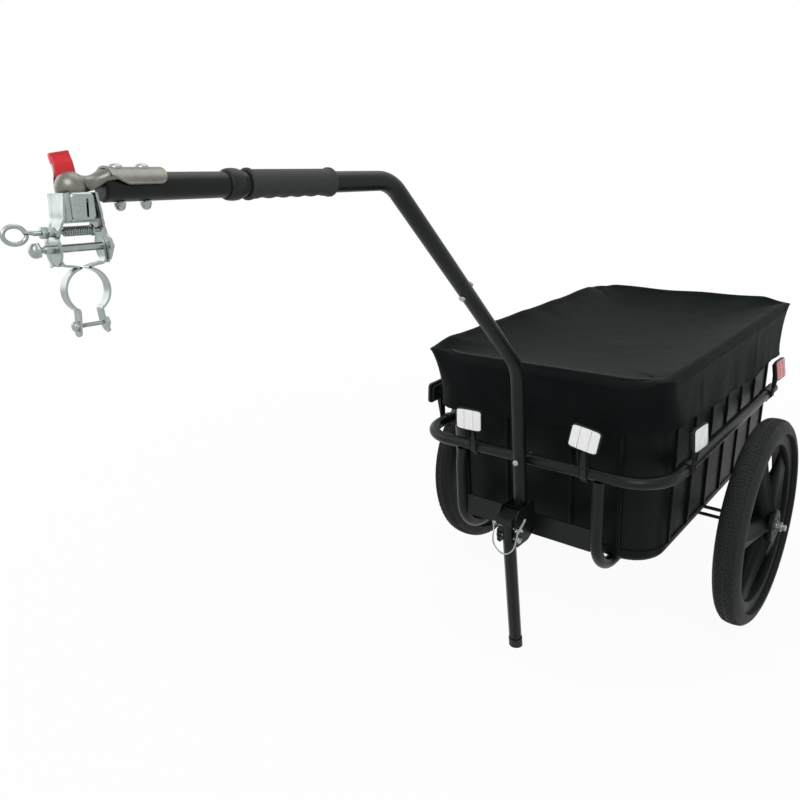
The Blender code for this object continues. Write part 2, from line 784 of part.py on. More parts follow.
def make_drawbar():
    foot, knee, seam, elbow, end = (at(0.0, *p) for p in (BAR_FOOT, BAR_KNEE, BAR_SEAM, BAR_ELBOW, BAR_END))
    slope = (seam - knee).normalized()
    lower_path = rounded([foot, knee, seam - slope * GAP / 2], BAR_KNEE_R, 4)
    lower = tube("drawbar_lower", lower_path, BAR_R, BODY, FRAME_PAINT, BAR_WALL)
    stop = bar_point(TOW_START + GAP)
    upper_path = rounded([seam + slope * GAP / 2, elbow, stop], BAR_ELBOW_R, 5)
    upper = tube("drawbar_upper", upper_path, BAR_R, BODY, FRAME_PAINT, BAR_WALL)
    inner = BAR_R - BAR_WALL - GAP
    sleeve_path = [seam - slope * SLEEVE_HALF, seam + slope * SLEEVE_HALF]
    sleeve = tube("seam_sleeve", sleeve_path, inner, BODY, DULL_ZINC, BAR_WALL)
    collar_path = [seam + slope * (SLEEVE_HALF - 0.012), seam + slope * (SLEEVE_HALF - 0.002)]
    collar = tube("seam_collar", collar_path, BAR_R - BAR_WALL / 2, BODY, DULL_ZINC, BAR_WALL)
    bolt_at = seam - slope * SEAM_BOLT_BACK
    under = Vector((0.0, -slope.z, slope.y))
    if under.z > 0:
        under = -under
    under_turn = (math.atan2(-under.y, under.z), 0.0, 0.0)
    hole = rod("seam_hole", SMALL_BOLT_R + BOLT_CLEARANCE, 4 * BAR_R, bolt_at, under_turn, BODY, None)
    cut(lower, [hole])
    cut(weld(upper, [collar, sleeve]), [hole])
    head_at = bolt_at + under * (BAR_R + GAP)
    length = 2 * BAR_R + 2 * GAP + 0.004
    seam_bolt = bolt("seam_bolt", SMALL_HEAD_R, SMALL_BOLT_R, length, head_at, under_turn, BODY, ZINC)
    nut_at = bolt_at - under * (BAR_R + GAP + 0.0015)
    weld(seam_bolt, [hex_nut("seam_nut", SMALL_HEAD_R, 0.003, nut_at, under_turn, BODY, ZINC)])

    share = (RAIL_BOLT_Z - BAR_FOOT[1]) / (BAR_KNEE[1] - BAR_FOOT[1])
    bar_y = BAR_FOOT[0] + (BAR_KNEE[0] - BAR_FOOT[0]) * share
    hole = rod(
        "bar_hole", SMALL_BOLT_R + BOLT_CLEARANCE, 4 * BAR_R, at(0.0, bar_y, RAIL_BOLT_Z), "Y", BODY, None
    )
    cut(bpy.data.objects["drawbar_lower"], [hole])
    front = bar_y - BAR_R - GAP
    back = RAIL_FRONT_Y + TUBE_R + GAP
    facing = (math.pi / 2, 0.0, 0.0)
    length = back - front + 0.005
    rail_bolt = bolt(
        "rail_bolt", SMALL_HEAD_R, SMALL_BOLT_R, length, at(0.0, front, RAIL_BOLT_Z), facing, BODY, ZINC
    )
    nut_at = at(0.0, back + 0.002, RAIL_BOLT_Z)
    weld(rail_bolt, [hex_nut("rail_nut", SMALL_HEAD_R, 0.004, nut_at, "Y", BODY, ZINC)])
    make_tow_tube()


def make_tow_tube():
    tow = tube("tow_tube", [bar_point(TOW_START), bar_point(0.0)], TOW_R, BODY, FRAME_PAINT, BAR_WALL)
    holes = []
    saddle_way_r = SADDLE_BOLT_R + BOLT_CLEARANCE
    for back in SADDLE_BOLTS:
        turn = (-FRONT_RUN_TILT, 0.0, 0.0)
        holes.append(
            rod(f"tow_hole_{back}", saddle_way_r, 4 * TOW_R, bar_point(back), turn, BODY, None)
        )
    cut(tow, holes)
    length = GRIP_FAR - GRIP_NEAR
    half = length / 2
    bore = (TOW_R + GAP) / math.cos(math.pi / GRIP_STEPS)
    flange = 0.005
    grooves = []
    runs = 2 * GRIP_GROOVES
    for i in range(runs + 1):
        along = (half - flange) * (1 - 2 * i / runs)
        wave = 0.5 - 0.5 * math.cos(math.tau * GRIP_GROOVES * i / runs)
        grooves.append((GRIP_R - 0.0009 + 0.0011 * wave, along))
    profile = [(bore, half), (GRIP_FLANGE_R - 0.001, half), (GRIP_FLANGE_R, half - 0.001)]
    profile += [(GRIP_FLANGE_R, half - flange + 0.001)] + grooves
    profile += [(GRIP_FLANGE_R, flange - half - 0.001), (GRIP_FLANGE_R, 0.001 - half)]
    profile += [(GRIP_FLANGE_R - 0.001, -half), (bore, -half)]
    spot = bar_point((GRIP_NEAR + GRIP_FAR) / 2)
    apply_all(turned("grip", profile, spot, FRONT_RUN_TURN, BODY, GRIP_RUBBER, steps=GRIP_STEPS, ring=True))
    half = (COLLAR_FAR - COLLAR_NEAR) / 2
    profile = [
        (bore, half),
        (COLLAR_R - 0.0015, half),
        (COLLAR_R, half - 0.002),
        (COLLAR_R, 0.002 - half),
        (COLLAR_R - 0.0015, -half),
        (bore, -half),
    ]
    spot = bar_point((COLLAR_NEAR + COLLAR_FAR) / 2)
    apply_all(
        turned(
            "grip_collar",
            profile,
            spot,
            FRONT_RUN_TURN,
            BODY,
            BLACK_PLASTIC,
            steps=GRIP_STEPS,
            ring=True,
        )
    )
    inner = (TOW_R - BAR_WALL) * FLAT - GAP
    depth = SADDLE_BOLTS[0] - SADDLE_BOLT_R - 0.003
    profile = [
        (0.0, PLUG_FLANGE * 0.6 + GAP),
        (TOW_R * 0.75, PLUG_FLANGE * 0.6 + GAP),
        (TOW_R, GAP + 0.0005),
        (TOW_R, GAP),
        (inner, GAP),
        (inner, -depth),
        (0.0, -depth),
    ]
    apply_all(turned("tow_tube_plug", profile, bar_point(0.0), FRONT_RUN_TURN, BODY, BLACK_PLASTIC, steps=12))


def make_saddle():
    inner = TOW_R + GAP
    outer = inner + SADDLE_T
    front = -0.0042
    start, end = math.pi / 2 - SADDLE_HALF_ANGLE, math.pi / 2 + SADDLE_HALF_ANGLE
    sector = arc((0, 0), outer, start, end, 10) + arc((0, 0), inner, end, start, 10)
    length = SADDLE_NEAR - front
    middle = bar_point((SADDLE_NEAR + front) / 2)
    saddle = plate("coupling_saddle", [sector], length, middle, FRONT_RUN_TURN, BODY, DULL_ZINC)
    ball = at(0.0, *BALL)
    dome = sphere("dome", CUP_OUT_R, ball, BODY, DULL_ZINC)
    neck = make_neck(front, outer)
    saddle = weld(saddle, [dome, neck])
    hollow = sphere("cup_hollow", CUP_IN_R, ball, BODY, None)
    lip = box("lip_cut", (0.06, 0.027, 0.03), ball + Vector((0.0, -0.0005, CUP_LIP - 0.015)), BODY, None)
    holes = []
    for back in SADDLE_BOLTS:
        turn = (-FRONT_RUN_TILT, 0.0, 0.0)
        spot = bar_point(back, outer)
        way_r = SADDLE_BOLT_R + BOLT_CLEARANCE
        holes.append(rod(f"saddle_hole_{back}", way_r, 0.012, spot, turn, BODY, None))
    cut(saddle, [hollow, lip] + holes)
    up_turn = (-FRONT_RUN_TILT, 0.0, 0.0)
    down_turn = (math.pi - FRONT_RUN_TILT, 0.0, 0.0)
    nut_h = 0.0056
    for name, back in zip(("saddle_bolt_front", "saddle_bolt_rear"), SADDLE_BOLTS):
        length = outer + 2 * GAP + TOW_R + nut_h * 0.55
        head_at = bar_point(back, outer + GAP)
        dome_bolt = bolt(name, DOME_HEAD_R, SADDLE_BOLT_R, length, head_at, up_turn, BODY, ZINC)
        cap = [(0.0, nut_h)]
        for a in (0.5, 0.9, 1.3, math.pi / 2):
            cap.append((ACORN_R * math.sin(a), nut_h * (0.5 + 0.5 * math.cos(a))))
        cap += [(ACORN_R, 0.0), (0.0, 0.0)]
        acorn = turned(f"acorn_{back}", cap, bar_point(back, -TOW_R - GAP), down_turn, BODY, ZINC, steps=12)
        weld(dome_bolt, [acorn])


def sphere(name, radius, location, parent, paint, across=16, down=10):
    bm = bmesh.new()
    bmesh.ops.create_uvsphere(bm, u_segments=across, v_segments=down, radius=radius)
    return smooth(place(mesh_from(name, bm), parent, location, (0, 0, 0), paint, PARTS if paint else CUTTERS))


def loft(name, rings, parent, paint):
    """A closed skin through rings of equally many points, flat at both ends."""
    bm = bmesh.new()
    loops = [[bm.verts.new(point) for point in ring] for ring in rings]
    for lower, upper in zip(loops, loops[1:]):
        for i in range(len(lower)):
            j = (i + 1) % len(lower)
            bm.faces.new((lower[i], lower[j], upper[j], upper[i]))
    bm.faces.new(loops[0][::-1])
    bm.faces.new(loops[-1])
    kept_in = PARTS if paint else CUTTERS
    return smooth(place(mesh_from(name, bm), parent, (0, 0, 0), (0, 0, 0), paint, kept_in))


def make_neck(front, outer):
    """The pressed waist between the saddle's front and the cup."""
    crown = bar_point(front + 0.0010, outer)
    ball = at(0.0, *BALL)
    sides = 12
    sections = (
        (crown.y, crown.z - 0.0062, 0.0118, 0.0060),
        ((crown.y * 2 + ball.y) / 3, ball.z + 0.0052, 0.0086, 0.0052),
        ((crown.y + ball.y * 2) / 3, ball.z + 0.0042, 0.0072, 0.0050),
        (ball.y + 0.0040, ball.z + 0.0040, 0.0080, 0.0052),
    )
    rings = []
    turns = [math.tau * i / sides for i in range(sides)]
    for y, z, half, tall in sections:
        rings.append(
            [(half * math.cos(turn), y, z + tall * math.sin(turn)) for turn in turns]
        )
    return loft("neck", rings, BODY, DULL_ZINC)


def leg_point(above_pivot):
    """A point on the leg's centre line, measured up from the pivot along the leg."""
    return at(
        0.0,
        PIVOT_Y - math.sin(LEG_LEAN) * above_pivot,
        PIVOT_Z + math.cos(LEG_LEAN) * above_pivot,
    )


def make_stand():
    down = (leg_point(-1.0) - leg_point(0.0)).normalized()
    world_down = Matrix.Rotation(PARK_PITCH, 3, "X") @ down
    pivot_world = world_of(leg_point(0.0))
    cap_r = LEG_R + FOOT_CAP_OUT
    to_ground = pivot_world.z / -world_down.z
    foot = leg_point(0.0) + down * (to_ground - FOOT_CAP_T - 0.004)
    leg = tube("stand_leg", [leg_point(LEG_ABOVE), foot], LEG_R, BODY, FRAME_PAINT, LEG_WALL)
    holes = [
        rod("pivot_hole", PIVOT_R + BOLT_CLEARANCE, 4 * LEG_R, leg_point(0.0), "X", BODY, None),
        rod("lock_hole", LOCK_PIN_R + PIN_CLEARANCE, 4 * LEG_R, leg_point(LOCK_ABOVE), "X", BODY, None),
    ]
    cut(leg, holes)
    lean = math.atan2(world_down.y, -world_down.z)
    make_foot_cap(pivot_world + world_down * to_ground, lean, cap_r)
    make_bracket()
    head_x = BRACKET_HALF + BRACKET_T / 2 + GAP
    pivot = bolt(
        "stand_pivot_bolt",
        PIVOT_HEAD_R,
        PIVOT_R,
        2 * head_x + 0.005,
        leg_point(0.0) + Vector((head_x, 0, 0)),
        (0.0, math.pi / 2, 0.0),
        BODY,
        ZINC,
        head_h=0.0036,
    )
    nut_at = leg_point(0.0) - Vector((head_x + 0.00175, 0, 0))
    weld(pivot, [hex_nut("pivot_nut", PIVOT_HEAD_R, 0.0035, nut_at, "X", BODY, ZINC)])
    make_lock_pin()


def make_foot_cap(ground, lean, cap_r):
    """A rubber cap whose sole is flat on the ground although the leg leans."""
    turn = (lean, 0.0, 0.0)
    axis_up = Matrix.Rotation(lean, 3, "X") @ Vector((0, 0, 1))
    centre = ground + axis_up * (FOOT_CAP_H / 2 - 0.004)
    world = empty("ground_line", (0.0, 0.0, 0.0))
    cap = rod("stand_foot", cap_r, FOOT_CAP_H + 0.008, centre, turn, world, BLACK_PLASTIC, 16)
    pocket_low = ground + axis_up * (FOOT_CAP_T + 0.004 - GAP)
    depth = 0.05
    pocket = rod("foot_pocket", LEG_R + GAP, depth, pocket_low + axis_up * depth / 2, turn, world, None, 16)
    floor = box("sole_cut", (0.1, 0.1, 0.02), (ground.x, ground.y, -0.01), world, None)
    cut(cap, [pocket, floor])


def make_bracket():
    rear = CROSS_PLATE_Y - CROSS_PLATE_T / 2 - GAP
    low, top, front = BRACKET_LOW_Z, BRACKET_TOP_Z, BRACKET_FRONT_Y
    cut_y, cut_z = BRACKET_CHAMFER
    flank = [
        (rear, low + cut_z),
        (rear, top),
        (front + 0.012, top),
        (front, top - 0.014),
        (front, low + 0.006),
        (front + 0.006, low),
        (rear - cut_y, low),
    ]
    sides = []
    for side in (-1, 1):
        centre = at(side * BRACKET_HALF, 0.0, 0.0)
        sides.append(plate(f"flank_{side}", [flank], BRACKET_T, centre, "X", BODY, FRAME_PAINT))
    bar_front = BAR_FOOT[0] - BAR_R
    share = (WEB_Z[1] - BAR_FOOT[1]) / (BAR_KNEE[1] - BAR_FOOT[1])
    bar_front += (BAR_KNEE[0] - BAR_FOOT[0]) * share
    web_y = bar_front - GAP - BRACKET_T / 2
    size = (2 * BRACKET_HALF + BRACKET_T * 0.5, BRACKET_T, WEB_Z[1] - WEB_Z[0])
    web = box("bracket_web", size, at(0.0, web_y, sum(WEB_Z) / 2), BODY, FRAME_PAINT)
    bracket = weld(sides[0], [sides[1], web])
    bracket.name = "stand_bracket"
    reach = 4 * BRACKET_HALF
    pivot_hole = rod("bracket_hole", PIVOT_R + BOLT_CLEARANCE, reach, leg_point(0.0), "X", BODY, None)
    half = LOCK_PIN_R + PIN_CLEARANCE
    begin = math.pi / 2 + LEG_LEAN
    finish = begin + math.radians(60.0)
    centre = (PIVOT_Y, PIVOT_Z)
    start = (centre[0] + LOCK_ABOVE * math.cos(begin), centre[1] + LOCK_ABOVE * math.sin(begin))
    slot = arc(start, half, begin - math.pi, begin, 8)[:-1]
    slot += arc(centre, LOCK_ABOVE + half, begin, finish, 12)
    slot += arc(centre, LOCK_ABOVE - half, finish, begin, 12)[:-1]
    slot_cut = plate("arc_slot", [slot], reach, at(0.0, 0.0, 0.0), "X", BODY, None)
    cut(bracket, [pivot_hole, slot_cut])


def make_lock_pin():
    centre = leg_point(LOCK_ABOVE)
    end = LOCK_PIN_END
    profile = [
        (0.0, end + LOCK_KNOB_R * 0.7),
        (LOCK_PIN_R * 0.7, end + LOCK_KNOB_R * 0.6),
        (LOCK_PIN_R, end),
        (LOCK_PIN_R, -end),
        (0.0, -end),
    ]
    pin = turned("lock_pin", profile, centre, "X", BODY, ZINC, steps=12)
    eye = rod("pin_eye", LOCK_KNOB_R, 0.006, centre - Vector((end + 0.002, 0, 0)), "X", BODY, ZINC)
    pin = weld(pin, [eye])
    cross_x = -(end + 0.002)
    cross = rod(
        "eye_hole", BAIL_R + PIN_CLEARANCE, 0.03, centre + Vector((cross_x, 0, 0)), "Y", BODY, None, 16
    )
    cut(pin, [cross])
    ahead = Vector((0.0, -BAIL_AHEAD, 0.0))
    left = centre + Vector((cross_x, 0, 0))
    loop = [left + Vector((0, LOCK_KNOB_R + 0.001, 0)), left + ahead]
    steps = 8
    for i in range(steps + 1):
        angle = math.pi * i / steps
        x = cross_x * math.cos(angle)
        z = -BAIL_DROP * math.sin(angle) ** 0.8
        loop.append(centre + ahead + Vector((x, 0, z - 0.003)))
    top = centre + ahead + Vector((-cross_x + 0.003, 0, 0.016))
    loop.append(top)
    turns, pitch = 2, 0.0042
    for i in range(turns * 6):
        angle = math.tau * i / 6
        lift = pitch * i / 6
        aside, ahead_by = BAIL_TWIST_R * math.sin(angle), BAIL_TWIST_R * (math.cos(angle) - 1)
        loop.append(top + Vector((aside + lift * 0.5, ahead_by, lift + 0.001)))
    tube("pin_bail", rounded(loop[:3], 0.003, 4)[:-1] + loop[2:], BAIL_R, BODY, ZINC, sides=6)


def ribbon(path, thickness):
    """The outline of a strip of sheet along a path of (u, w) points."""
    path = [Vector(p) for p in path]
    left, right = [], []
    for i, point in enumerate(path):
        before = path[max(i - 1, 0)]
        after = path[min(i + 1, len(path) - 1)]
        into = (point - before).normalized() if i else (after - point).normalized()
        out = (after - point).normalized() if i < len(path) - 1 else into
        mean = (into + out).normalized()
        side = Vector((-mean.y, mean.x))
        reach = thickness / 2 / max(side.dot(Vector((-into.y, into.x))), 0.5)
        left.append(tuple(point + side * reach))
        right.append(tuple(point - side * reach))
    return left + right[::-1]


def make_ball_and_stem():
    sphere("ball", BALL_R, (0, 0, 0), HITCH, ZINC)
    half_a, _, half_w = STEM_BLOCK
    half_u = PLATE_U - PLATE_T / 2 - GAP
    top = -BALL_R - GAP
    low = STEM_BLOCK_Z
    stem = rod("ball_stem", STEM_R, top - low, (0, 0, (top + low) / 2), "Z", HITCH, ZINC, 16)
    block = box(
        "stem_block", (2 * half_a, 2 * half_u, 2 * half_w), (0, 0, STEM_BLOCK_Z), HITCH, ZINC, bevel=0.001
    )
    weld(stem, [block])


def make_hitch_bracket():
    low_z = LONG_BOLT_Z + 0.0045
    back = LEVER_A - 0.0036
    flank = arc((0.0, low_z), PLATE_HALF, -math.pi, 0.0, 8)
    flank += [(PLATE_HALF, -0.040), (HOUSING_A + PLATE_T / 2, HOUSING_Z[1])]
    flank += [(HOUSING_A + PLATE_T / 2, PLATE_TOP - 0.002), (HOUSING_A - 0.002, PLATE_TOP)]
    flank += [(back + 0.003, PLATE_TOP), (back, PLATE_TOP - 0.003), (back, -0.029), (-PLATE_HALF, -0.040)]
    plates = []
    for side in (-1, 1):
        spot = (0.0, side * PLATE_U, 0.0)
        plates.append(plate(f"hitch_plate_{side}", [flank], PLATE_T, spot, "Y", HITCH, ZINC))
    wide = PLATE_U + PLATE_T / 2
    face = [
        (-wide, HOUSING_Z[1]),
        (wide, HOUSING_Z[1]),
        (wide, PLATE_TOP - 0.002),
        (HOUSING_HALF, HOUSING_Z[0] - 0.002),
        (HOUSING_HALF - 0.003, HOUSING_Z[0]),
        (0.003 - HOUSING_HALF, HOUSING_Z[0]),
        (-HOUSING_HALF, HOUSING_Z[0] - 0.002),
        (-wide, PLATE_TOP - 0.002),
    ]
    slot_u = 0.0030
    slot = [
        (slot_u - SLOT_HALF, -0.023),
        (slot_u + SLOT_HALF, -0.023),
        (slot_u + SLOT_HALF, -0.010),
        (slot_u - SLOT_HALF, -0.010),
    ]
    housing = plate("housing_face", [face, slot], PLATE_T, (HOUSING_A, 0, 0), "X", HITCH, ZINC)
    bracket = weld(plates[0], [plates[1], housing])
    bracket.name = "hitch_bracket"
    reach = 4 * PLATE_U
    holes = [
        rod("eye_way", EYE_R + BOLT_CLEARANCE, reach, (0, 0, EYE_Z), "Y", HITCH, None),
        rod("long_way", LONG_BOLT_R + BOLT_CLEARANCE, reach, (0, 0, LONG_BOLT_Z), "Y", HITCH, None),
    ]
    bracket = cut(bracket, holes)
    length = 2 * (PLATE_U + PLATE_T / 2) + 0.002
    weld(bracket, [rod("lever_pin", LEVER_PIN_R, length, (LEVER_A, 0, LEVER_PIN_Z), "Y", HITCH, ZINC, 20)])


def make_lever():
    height = LEVER_TOP - LEVER_PIN_Z
    strip = box(
        "latch_lever",
        (LEVER_T, 2 * LEVER_HALF, height),
        (LEVER_A, LEVER_U, (LEVER_TOP + LEVER_PIN_Z) / 2),
        HITCH,
        ZINC,
    )
    barrel_half = PLATE_U - PLATE_T / 2 - GAP
    barrel = rod("lever_barrel", 0.0030, 2 * barrel_half, (LEVER_A, 0, LEVER_PIN_Z), "Y", HITCH, ZINC)
    lever = weld(strip, [barrel])
    bore = LEVER_PIN_R + RUNNING_FIT
    cut(lever, [rod("lever_bore", bore, 0.1, (LEVER_A, 0, LEVER_PIN_Z), "Y", HITCH, None)])
    grip_mid = LEVER_TOP + 0.004 - LEVER_GRIP_H / 2
    grip = box(
        "lever_grip",
        (LEVER_GRIP_T, 2 * LEVER_HALF + 0.0034, LEVER_GRIP_H),
        (LEVER_A, LEVER_U, grip_mid),
        HITCH,
        RED_PLASTIC,
        bevel=0.0013,
    )
    pocket_h = LEVER_GRIP_H
    pocket = box(
        "grip_pocket",
        (LEVER_T + 2 * GAP, 2 * (LEVER_HALF + GAP), pocket_h),
        (LEVER_A, LEVER_U, LEVER_TOP + GAP - pocket_h / 2),
        HITCH,
        None,
    )
    cut(grip, [pocket])


def make_eye_bolt():
    steps = 12
    turns = [math.tau * i / steps for i in range(steps)]
    ring = [
        (0.0, EYE_RING_U + EYE_RING_R * math.cos(turn), EYE_Z + EYE_RING_R * math.sin(turn))
        for turn in turns
    ]
    loop = tube("eye_bolt", [Vector(p) for p in ring], EYE_WIRE_R, HITCH, ZINC, sides=8, closed=True)
    tail = PLATE_U + PLATE_T / 2 + 0.002
    begin = EYE_RING_U + EYE_RING_R
    shank = rod("eye_shank", EYE_R, tail - begin, (0, (tail + begin) / 2, EYE_Z), "Y", HITCH, ZINC, 14)
    collar_u = PLATE_U - PLATE_T / 2 - 0.0022
    collar = rod("eye_collar", SPRING_R + SPRING_WIRE_R, 0.0012, (0, collar_u, EYE_Z), "Y", HITCH, ZINC, 14)
    jam = rod("eye_jam_nut", 0.0046, 0.004, (0, -0.0282, EYE_Z), "Y", HITCH, ZINC, 6)
    weld(loop, [shank, collar, jam])
    front = -(PLATE_U - PLATE_T / 2) + GAP + SPRING_WIRE_R
    back = collar_u - 0.0006 - GAP - SPRING_WIRE_R
    points = []
    per_curl = 8
    total = SPRING_CURLS * per_curl
    for i in range(total + 1):
        angle = math.tau * i / per_curl
        along = front + (back - front) * i / total
        around = SPRING_R * math.cos(angle), SPRING_R * math.sin(angle)
        points.append(Vector((around[0], along, EYE_Z + around[1])))
    gap = least_gap(points, SPRING_WIRE_R, per_curl)
    print(f"eye_spring least gap to itself {gap * 1000:.2f} mm")
    tube("eye_spring", points, SPRING_WIRE_R, HITCH, ZINC, sides=6)


def least_gap(points, radius, per_curl):
    """The least clear distance between parts of the wire at least half a curl apart."""
    skip = per_curl // 2
    nearest = min(
        (points[j] - points[i]).length for i in range(len(points)) for j in range(i + skip, len(points))
    )
    return nearest - 2 * radius


def make_clamp():
    ear_u = PLATE_U - PLATE_T / 2 - GAP - STRAP_T / 2
    radius = RING_R - STRAP_T / 2
    neck_angle = math.acos(0.006 / radius)
    foot_angle = math.acos(0.0095 / radius)
    for name, side in (("clamp_strap_front", -1), ("clamp_strap_rear", 1)):
        ring = arc((0.0, RING_Z), radius, neck_angle, -foot_angle, 10)
        path = [(ear_u, LONG_BOLT_Z + 0.010), (ear_u, NECK_Z + 0.0056), (ear_u - 0.003, NECK_Z + 0.0026)]
        path += [(STRAP_T / 2 + NECK_U + 0.0016, NECK_Z + 0.0006), (STRAP_T + GAP, NECK_Z - 0.0014)]
        ear_top = RING_Z - radius * math.sin(foot_angle) - 0.004
        path += ring + [(CLAMP_EAR_U, ear_top), (CLAMP_EAR_U, CLAMP_EAR_END)]
        path = [(u * side, w) for u, w in path]
        plate(name, [ribbon(path, STRAP_T)], 2 * STRAP_HALF, (0, 0, 0), "X", HITCH, ZINC)
    round_r = STRAP_HALF - 0.0008
    top, low, wide = LONG_BOLT_Z + 0.02, LONG_BOLT_Z, STRAP_HALF + 0.003
    corner = [(-wide, low), (-wide, top), (wide, top), (wide, low)] + arc((0, low), round_r, 0.0, math.pi, 8)
    top_trim = plate("ear_trim", [corner], 0.06, (0, 0, 0), "Y", HITCH, None)
    low, end = CLAMP_BOLT_Z, CLAMP_EAR_END - 0.01
    corner = [(-wide, low), (-wide, end), (wide, end), (wide, low)]
    corner += arc((0, low), STRAP_HALF - 0.0002, 0.0, -math.pi, 8)
    low_trim = plate("foot_trim", [corner], 0.06, (0, 0, 0), "Y", HITCH, None)
    long_way_r = LONG_BOLT_R + BOLT_CLEARANCE
    long_way = rod("strap_way", long_way_r, 0.1, (0, 0, LONG_BOLT_Z), "Y", HITCH, None)
    bolt_way = rod("clamp_way", CLAMP_BOLT_R + BOLT_CLEARANCE, 0.1, (0, 0, CLAMP_BOLT_Z), "Y", HITCH, None)
    for name in ("clamp_strap_front", "clamp_strap_rear"):
        cut(bpy.data.objects[name], [top_trim, low_trim, long_way, bolt_way])
    facing = (math.pi / 2, 0.0, 0.0)
    start, end = LONG_BOLT_ENDS
    length, spot = end - start + 0.003, (0, start, LONG_BOLT_Z)
    head_r, head_h = LONG_HEAD
    long_bolt = bolt("long_bolt", head_r, LONG_BOLT_R, length, spot, facing, HITCH, ZINC, head_h)
    nut_h = head_h - 0.0004
    spot = (0, PLATE_U + PLATE_T / 2 + GAP + nut_h / 2, LONG_BOLT_Z)
    weld(long_bolt, [hex_nut("long_nut", head_r, nut_h, spot, "Y", HITCH, ZINC)])
    seat = CLAMP_EAR_U + STRAP_T / 2 + GAP
    length, spot = 2 * seat + 0.005, (0, -seat, CLAMP_BOLT_Z)
    head_r, head_h = CLAMP_HEAD
    clamp_bolt = bolt("clamp_bolt", head_r, CLAMP_BOLT_R, length, spot, facing, HITCH, ZINC, head_h)
    spot = (0, seat + head_h / 2, CLAMP_BOLT_Z)
    weld(clamp_bolt, [hex_nut("clamp_nut", head_r, head_h, spot, "Y", HITCH, ZINC)])


def rounded_rectangle(half, front, rear, radius, steps=4):
    """Points (x, y) of a rectangle with round corners, from the front right corner, counter-clockwise."""
    corners = (
        (half - radius, front + radius, -math.pi / 2),
        (half - radius, rear - radius, 0.0),
        (radius - half, rear - radius, math.pi / 2),
        (radius - half, front + radius, math.pi),
    )
    points = []
    for x, y, start in corners:
        points += arc((x, y), radius, start, start + math.pi / 2, steps)
    return points


def crate_outline(inset, height):
    """The crate's outline at a height, a little wider the higher, drawn in by the inset."""
    share = (height - CRATE_BOTTOM_Z) / (CRATE_TOP_Z - CRATE_BOTTOM_Z)
    grow = CRATE_TAPER * share - inset
    return rounded_rectangle(
        CRATE_HALF_BOTTOM + grow,
        CRATE_FRONT_BOTTOM_Y - grow,
        CRATE_REAR_BOTTOM_Y + grow,
        CRATE_CORNER_R + grow,
    )


def make_crate():
    fillet = CRATE_FLOOR_FILLET
    rim_low = CRATE_TOP_Z - CRATE_RIM_H
    levels = []
    for i in range(3):
        angle = math.pi / 2 * i / 2
        levels.append((fillet * (1 - math.sin(angle)), CRATE_BOTTOM_Z + fillet * (1 - math.cos(angle))))
    levels += [(0.0, rim_low), (-CRATE_RIM_OUT, rim_low + CRATE_RIM_STEP)]
    levels += [(-CRATE_RIM_OUT, CRATE_TOP_Z - CRATE_RIM_CHAMFER)]
    levels += [(CRATE_RIM_CHAMFER - CRATE_RIM_OUT, CRATE_TOP_Z), (CRATE_WALL, CRATE_TOP_Z)]
    floor = CRATE_BOTTOM_Z + CRATE_WALL
    for i in range(3):
        angle = math.pi / 2 * (2 - i) / 2
        inset = CRATE_WALL + (fillet - CRATE_WALL) * (1 - math.sin(angle))
        levels.append((inset, floor + (fillet - CRATE_WALL) * (1 - math.cos(angle))))
    rings = []
    for inset, height in levels:
        rings.append([at(x, y, height) for x, y in crate_outline(inset, height)])
    crate = loft("crate", rings, BODY, BLACK_PLASTIC)
    weld_many(crate, crate_ribs())


def crate_ribs():
    """Upright ribs round the wall, sunk a little way into it."""
    low, high = CRATE_RIB_Z
    middle = (low + high) / 2
    half, front = CRATE_HALF_BOTTOM, CRATE_FRONT_BOTTOM_Y
    rear = CRATE_REAR_BOTTOM_Y
    lean = math.atan2(CRATE_TAPER, CRATE_TOP_Z - CRATE_BOTTOM_Z)
    grow = CRATE_TAPER * (middle - CRATE_BOTTOM_Z) / (CRATE_TOP_Z - CRATE_BOTTOM_Z)
    depth = CRATE_RIB_OUT + CRATE_WALL * 0.7
    sink = CRATE_RIB_OUT - depth / 2
    bars = []
    across = int((half - CRATE_CORNER_R) / CRATE_RIB_PITCH)
    for i in range(-across, across + 1):
        x = i * CRATE_RIB_PITCH
        for y, sign in ((front - grow, -1), (rear + grow, 1)):
            spot = at(x, y + sign * sink, middle)
            size = (CRATE_RIB_W, depth, high - low)
            bars.append(box(f"rib_{i}_{sign}", size, spot, BODY, BLACK_PLASTIC, (-sign * lean, 0, 0)))
    centre_y = (front + rear) / 2
    along = int(((rear - front) / 2 - CRATE_CORNER_R) / CRATE_RIB_PITCH)
    for i in range(-along, along + 1):
        y = centre_y + i * CRATE_RIB_PITCH
        for sign in (-1, 1):
            spot = at(sign * (half + grow + sink), y, middle)
            size = (depth, CRATE_RIB_W, high - low)
            bars.append(box(f"side_rib_{i}_{sign}", size, spot, BODY, BLACK_PLASTIC, (0, sign * lean, 0)))
    return bars


def cover_edge_height(x, y):
    """How far the cover's edge stands over the rim: low between corners, peaked at two of them."""
    middle_y = (CRATE_FRONT_BOTTOM_Y + CRATE_REAR_BOTTOM_Y) / 2
    across = min(abs(x) / (CRATE_HALF_BOTTOM + CRATE_TAPER), 1.0)
    along = min(abs(y - middle_y) / ((CRATE_REAR_BOTTOM_Y - CRATE_FRONT_BOTTOM_Y) / 2), 1.0)
    corner = (across * along) ** 6
    peaked = x * (y - middle_y) > 0
    return COVER_CORNER_RISE * corner + (COVER_EAR * corner**3 if peaked else 0.0)


